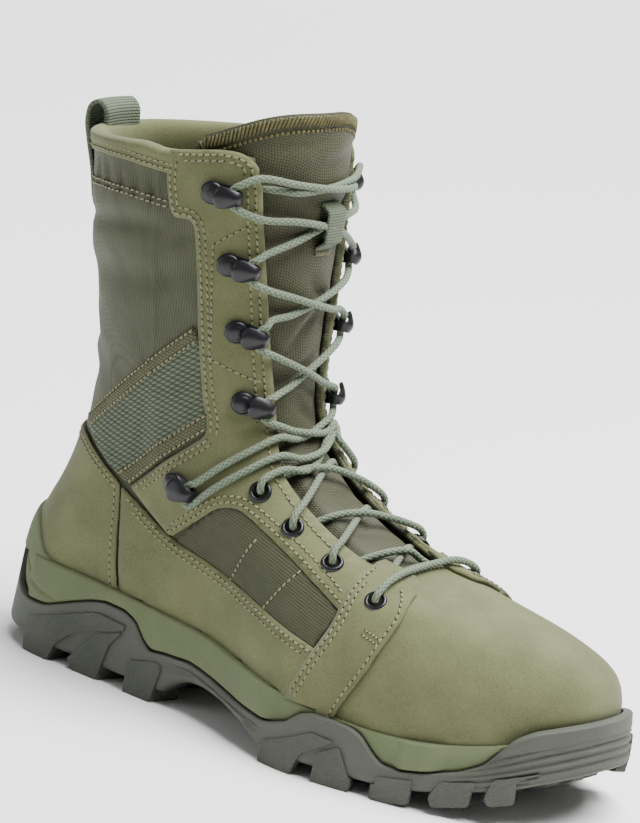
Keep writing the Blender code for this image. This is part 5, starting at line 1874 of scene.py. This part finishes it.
    def beside(self, side: float, x: Array, offset: Array) -> Array:
        """Plan points beside the outline at stations x."""
        x = np.asarray(x, dtype=float)
        turn = to_turn(LAST.share_at(LAST.rows(np.zeros_like(x)), x))
        return self.ring(turn if side < 0 else 2.0 - turn, offset, 0.0)[..., :2]

    def wall_relief(self, x: Array, z: Array, top: Array) -> Array:
        """Ribs of the toe bumper and the two lines of the arch strip."""
        over = z - self.ground(x)
        toe = ease((x - 250.0) / 16.0)
        # The ribs fan out towards the front
        fan = (over - self.rib_low) / (0.55 + 0.45 * ease((x - 250.0) / 30.0))
        ribs = self.rib_depth * (np.cos(fan / self.rib_pitch * 2.0 * np.pi) - 1.0) * ease((over - 6.5) / 2.0)
        ribs = ribs * ease((self.rib_high - over) / 1.5) * toe
        waist = ease((x - 104.0) / 6.0) * ease((172.0 - x) / 6.0)
        lines = sum(bell(top - z, drop, self.line_width) for drop in self.line_drops)
        return ribs - self.line_depth * lines * waist

    def outsole(self) -> Piece:
        """Tray of the outsole without its lugs."""
        around = np.linspace(0.0, 2.0, self.columns + 1)
        point, _ = self.plan(around)
        x = point[:, 0]
        low, top, flare, lean = self.floor(x), self.rim_top(x), self.flare(x), self.lean(x)
        middle = np.stack((x, LAST.centre_line(x)), -1)
        edge = self.ring(around, 2.0 + flare, low)
        rows = []
        for share in (0.0, 0.4, 0.75, 0.95):
            spot = middle + (edge[:, :2] - middle) * share
            rows.append(np.concatenate((spot, low[:, None]), -1))
        rows.append(edge)
        for rise, offset in ((0.35, 3.7), (1.0, 4.9), (1.9, 5.7)):
            rows.append(self.ring(around, offset + flare, np.minimum(low + rise, top - 0.9)))
        start = self.wall_start(low, top)
        for t in np.linspace(0.0, 1.0, 30):
            z = start + (top - 0.5 - start) * t
            rows.append(self.ring(around, self.wall(x, z) + self.wall_relief(x, z, top), z))
        tray = self.tray(low, top)
        for offset, height in ((4.6 + 0.6 * flare - lean, top - 0.1), (4.0 + 0.6 * flare - lean, top),
                               (self.rim_inner - lean, top), (self.rim_inner, tray)):
            rows.append(self.ring(around, offset, height))
        rows.append(np.concatenate((middle, tray[:, None]), -1))
        points = np.array(rows)
        item = make_object("outsole_tray", closed(points, arc_maps(points)), (RUBBER,), 50.0)
        return settle(item, "outsole_rubber", ("outsole",))

    @staticmethod
    def wall_start(low: Array, top: Array) -> Array:
        """Height at which the wall starts over its rounded foot."""
        return np.minimum(low + 3.0, top - 0.8)

    @staticmethod
    def tray(low: Array, top: Array) -> Array:
        """Height of the outsole's inside."""
        return np.minimum(low + 3.0, top - 0.5)

    def wall(self, x: Array, z: Array) -> Array:
        """How far the outsole's wall stands off the outline."""
        low, top, flare = self.floor(x), self.rim_top(x), self.flare(x)
        start = self.wall_start(low, top)
        t = np.clip((z - start) / np.maximum(top - 0.5 - start, 0.3), 0.0, 1.0)
        return (6.0 + flare) * (1.0 - t) + (5.0 + 0.6 * flare - self.lean(x)) * t

    def side_face(self, work: Mesh, side: Side, outline: Outline) -> None:
        """Raised face of an edge lug on the wall."""
        face = Panel("face", outline, step=4.0, round_edge=0.9).flat()
        spots = np.array([v.co[:2] for v in face.verts])
        z = spots[:, 1] + self.ground(spots[:, 0]) + 0.05
        proud = self.wall(spots[:, 0], z) + 1.0
        plan = self.beside(side.value, spots[:, 0], proud)
        for vert, spot in zip(face.verts, to_scene(np.concatenate((plan, z[:, None]), -1))):
            vert.co = spot
        if side is Side.INNER:
            bmesh.ops.reverse_faces(face, faces=face.faces)
        mesh = bpy.data.meshes.new("face")
        face.to_mesh(mesh)
        face.free()
        work.from_mesh(mesh)
        bpy.data.meshes.remove(mesh)

    def side_lugs(self) -> Piece:
        """Raised faces of the edge lugs on both sides."""
        work = bmesh.new()
        for outline in self.claws:
            self.side_face(work, Side.OUTER, outline)
        for side, rear, front, _, _ in self.edge_lugs:
            if side > 0:
                x = np.array((rear, front), dtype=float)
                tall = np.minimum(self.rim_top(x + 4.0) - self.ground(x) - 2.0, 17.0)
                outline = ((rear, 0.0, 0.6), (front, 0.0, 0.6), (front + 4.0, tall[1], 0.8),
                           (rear + 5.0, tall[0], 0.8))
                self.side_face(work, Side.INNER, outline)
        item = make_object("outsole_side_lugs", work, (LUG_RUBBER,), 40.0)
        thicken(item, 4.2, -1.0)
        bevel(item, 0.5, 2, 40.0)
        return settle(item, "outsole_rubber", ("outsole",))

    def tread(self, work: Mesh, plan: Array) -> None:
        """One lug under the sole."""
        low = np.concatenate((plan, self.ground(plan[:, 0])[:, None]), -1)
        face = work.faces.new([work.verts.new(spot) for spot in to_scene(low)])
        raised = bmesh.ops.extrude_face_region(work, geom=[face], use_keep_orig=True)
        for item in raised["geom"]:
            if isinstance(item, bmesh.types.BMVert):
                x = item.co.x / MM + ORIGIN[0]
                item.co.z = (float(self.floor(np.array([x]))[0]) + 1.0) * MM

    def lugs(self) -> Piece:
        """All lugs in one tread piece."""
        work = bmesh.new()
        for side, rear, front, reach, shift in self.edge_lugs:
            mid = 0.5 * (rear + front + shift) + 3.0
            x = np.array((rear, front, front + shift, mid, rear + shift), dtype=float)
            offset = np.array((6.4, 6.4, -reach * 0.45, -reach, -reach * 0.8))
            self.tread(work, self.beside(side, x, offset))
        for x, y, length, width, slant in self.middle_lugs:
            h, w = 0.5 * length, 0.5 * width
            corners = ((x - h, y - w), (x + h, y - w), (x + h + slant, y + w), (x - h + slant, y + w))
            self.tread(work, np.array(corners))
        for point in self.chevrons:
            self.tread(work, np.array(self.chevron) + point)
        bmesh.ops.recalc_face_normals(work, faces=work.faces)
        item = make_object("outsole_tread", work, (LUG_RUBBER,), 40.0)
        bevel(item, 0.6, 2, 35.0)
        return settle(item, "outsole_rubber", ("outsole",))

    def midsole(self) -> Piece:
        """Foam wedge between outsole and upper."""
        around = np.linspace(0.0, 2.0, self.columns + 1)
        point, _ = self.plan(around)
        x, feather = point[:, 0], point[:, 2]
        low, top, lean = self.floor(x), self.rim_top(x), self.lean(x)
        inset = self.rim_inner - 0.3 - lean
        nearby = np.max([self.rim_top(x + step) for step in (-14.0, -7.0, 0.0, 7.0, 14.0)], axis=0)
        ledge = inset + 2.4 * np.clip((feather - nearby - 2.0) / 3.0, 0.0, 1.0)
        bottom = self.tray(low, top) + 0.3
        start = np.maximum(np.minimum(top - 0.6, feather - 2.4), bottom + 0.4)
        middle = np.stack((x, LAST.centre_line(x)), -1)
        rows = [np.concatenate((middle, bottom[:, None]), -1), self.ring(around, inset, bottom),
                self.ring(around, inset, start)]
        groove = respace(np.array(self.heel_groove), 0.5)
        for t in np.linspace(0.0, 1.0, 26):
            z = start + (feather + 1.2 - start) * t
            gap = np.min(np.linalg.norm(np.stack((x, z), -1)[:, None] - groove[None], axis=2), axis=1)
            bulge = ledge + 0.5 * np.sin(np.pi * t) - 0.5 * t ** 6 - 0.9 * bell(gap, 0.0, 0.75)
            rows.append(self.ring(around, inset - 0.7 + (bulge - inset + 0.7) * ease((z - top) / 1.3), z))
        for offset, rise in ((ledge - 1.0, 1.5), (0.3, 1.55), (-3.0, -0.4)):
            rows.append(self.ring(around, offset, feather + rise))
        rows.append(np.concatenate((middle, feather[:, None] - 0.5), -1))
        points = np.array(rows)
        item = make_object("midsole_wedge", closed(points, arc_maps(points)), (FOAM,), 60.0)
        return settle(item, "midsole_foam", ("midsole",))

    def build(self) -> None:
        """Make the soles; the footbed keeps its solid and gets a cloth."""
        self.outsole()
        self.lugs()
        self.side_lugs()
        self.midsole()
        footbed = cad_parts["insole"]
        footbed.data.materials.clear()
        footbed.data.materials.append(FOOTBED.material())


@dataclass
class Studio:
    """Camera of the view, soft lights, and a pale floor."""

    position: tuple = (1.10183, -1.58155, 0.6320)
    target: tuple = (-0.01523, 0.00395, 0.12738)
    roll: float = 8.66
    lens: float = 216.1

    def camera(self) -> None:
        """Place the camera, rolled about its axis."""
        data = bpy.data.cameras.new("view")
        data.lens = self.lens
        data.sensor_width = 36.0
        data.clip_end = 20.0
        item = link("view", data)
        back = (Vector(self.position) - Vector(self.target)).normalized()
        right = Vector((0.0, 0.0, 1.0)).cross(back).normalized()
        up = back.cross(right)
        r = math.radians(self.roll)
        turned = math.cos(r) * right + math.sin(r) * up
        risen = math.cos(r) * up - math.sin(r) * right
        facing = Matrix((turned, risen, back)).transposed().to_4x4()
        item.matrix_world = Matrix.Translation(self.position) @ facing
        bpy.context.scene.camera = item

    def light(self, name: str, place: Sequence[float], size: float, power: float,
              aim: Sequence[float] = (0.0, 0.0, 0.1)) -> None:
        """Add a soft area light, aimed at the boot unless told otherwise."""
        data = bpy.data.lights.new(name, "AREA")
        data.energy = power
        data.shape = "SQUARE"
        data.size = size
        item = link(name, data)
        item.location = place
        item.rotation_euler = (Vector(aim) - Vector(place)).to_track_quat("-Z", "Y").to_euler()

    def build(self) -> None:
        """Make camera, lights, world and floor."""
        self.camera()
        self.light("key", (0.5, 0.3, 1.75), 1.4, 124.0)
        self.light("fill", (-1.1, -1.5, 0.6), 1.3, 9.5)
        self.light("backdrop", (-1.7, 2.6, 2.6), 2.4, 240.0, (-2.3, 3.4, 0.0))
        world = bpy.data.worlds.new("studio")
        world.use_nodes = True
        sky = world.node_tree.nodes["Background"]
        sky.inputs["Color"].default_value = (1.0, 1.0, 1.0, 1.0)
        sky.inputs["Strength"].default_value = 0.19
        bpy.context.scene.world = world
        work = bmesh.new()
        bmesh.ops.create_grid(work, x_segments=1, y_segments=1, size=6.0)
        mat = bpy.data.materials.new("pale_floor")
        mat.use_nodes = True
        shader = mat.node_tree.nodes["Principled BSDF"]
        shader.inputs["Base Color"].default_value = (0.9, 0.9, 0.9, 1.0)
        shader.inputs["Roughness"].default_value = 0.9
        mesh = bpy.data.meshes.new("floor")
        work.to_mesh(mesh)
        work.free()
        mesh.materials.append(mat)
        link("floor", mesh)


def main() -> None:
    """Build the boot piece by piece."""
    logging.basicConfig(level=logging.INFO, format="%(name)s %(message)s")
    Studio().build()
    seams = Stitching("seams")
    edging = Stitching("tongue_overlock", EDGING)
    Shell().build(seams)
    Panels().build(seams)
    counter = Counter()
    counter.build()
    counter.stitch(seams)
    HEEL_CUP.build()
    Collar().build(seams)
    tongue = Tongue()
    tongue.build(seams, edging)
    PullLoop().build()
    Hardware().build()
    Lace(tongue).build()
    Sole().build()
    seams.build("suede")
    edging.build("tongue_cloth")


if __name__ == "__main__":
    main()
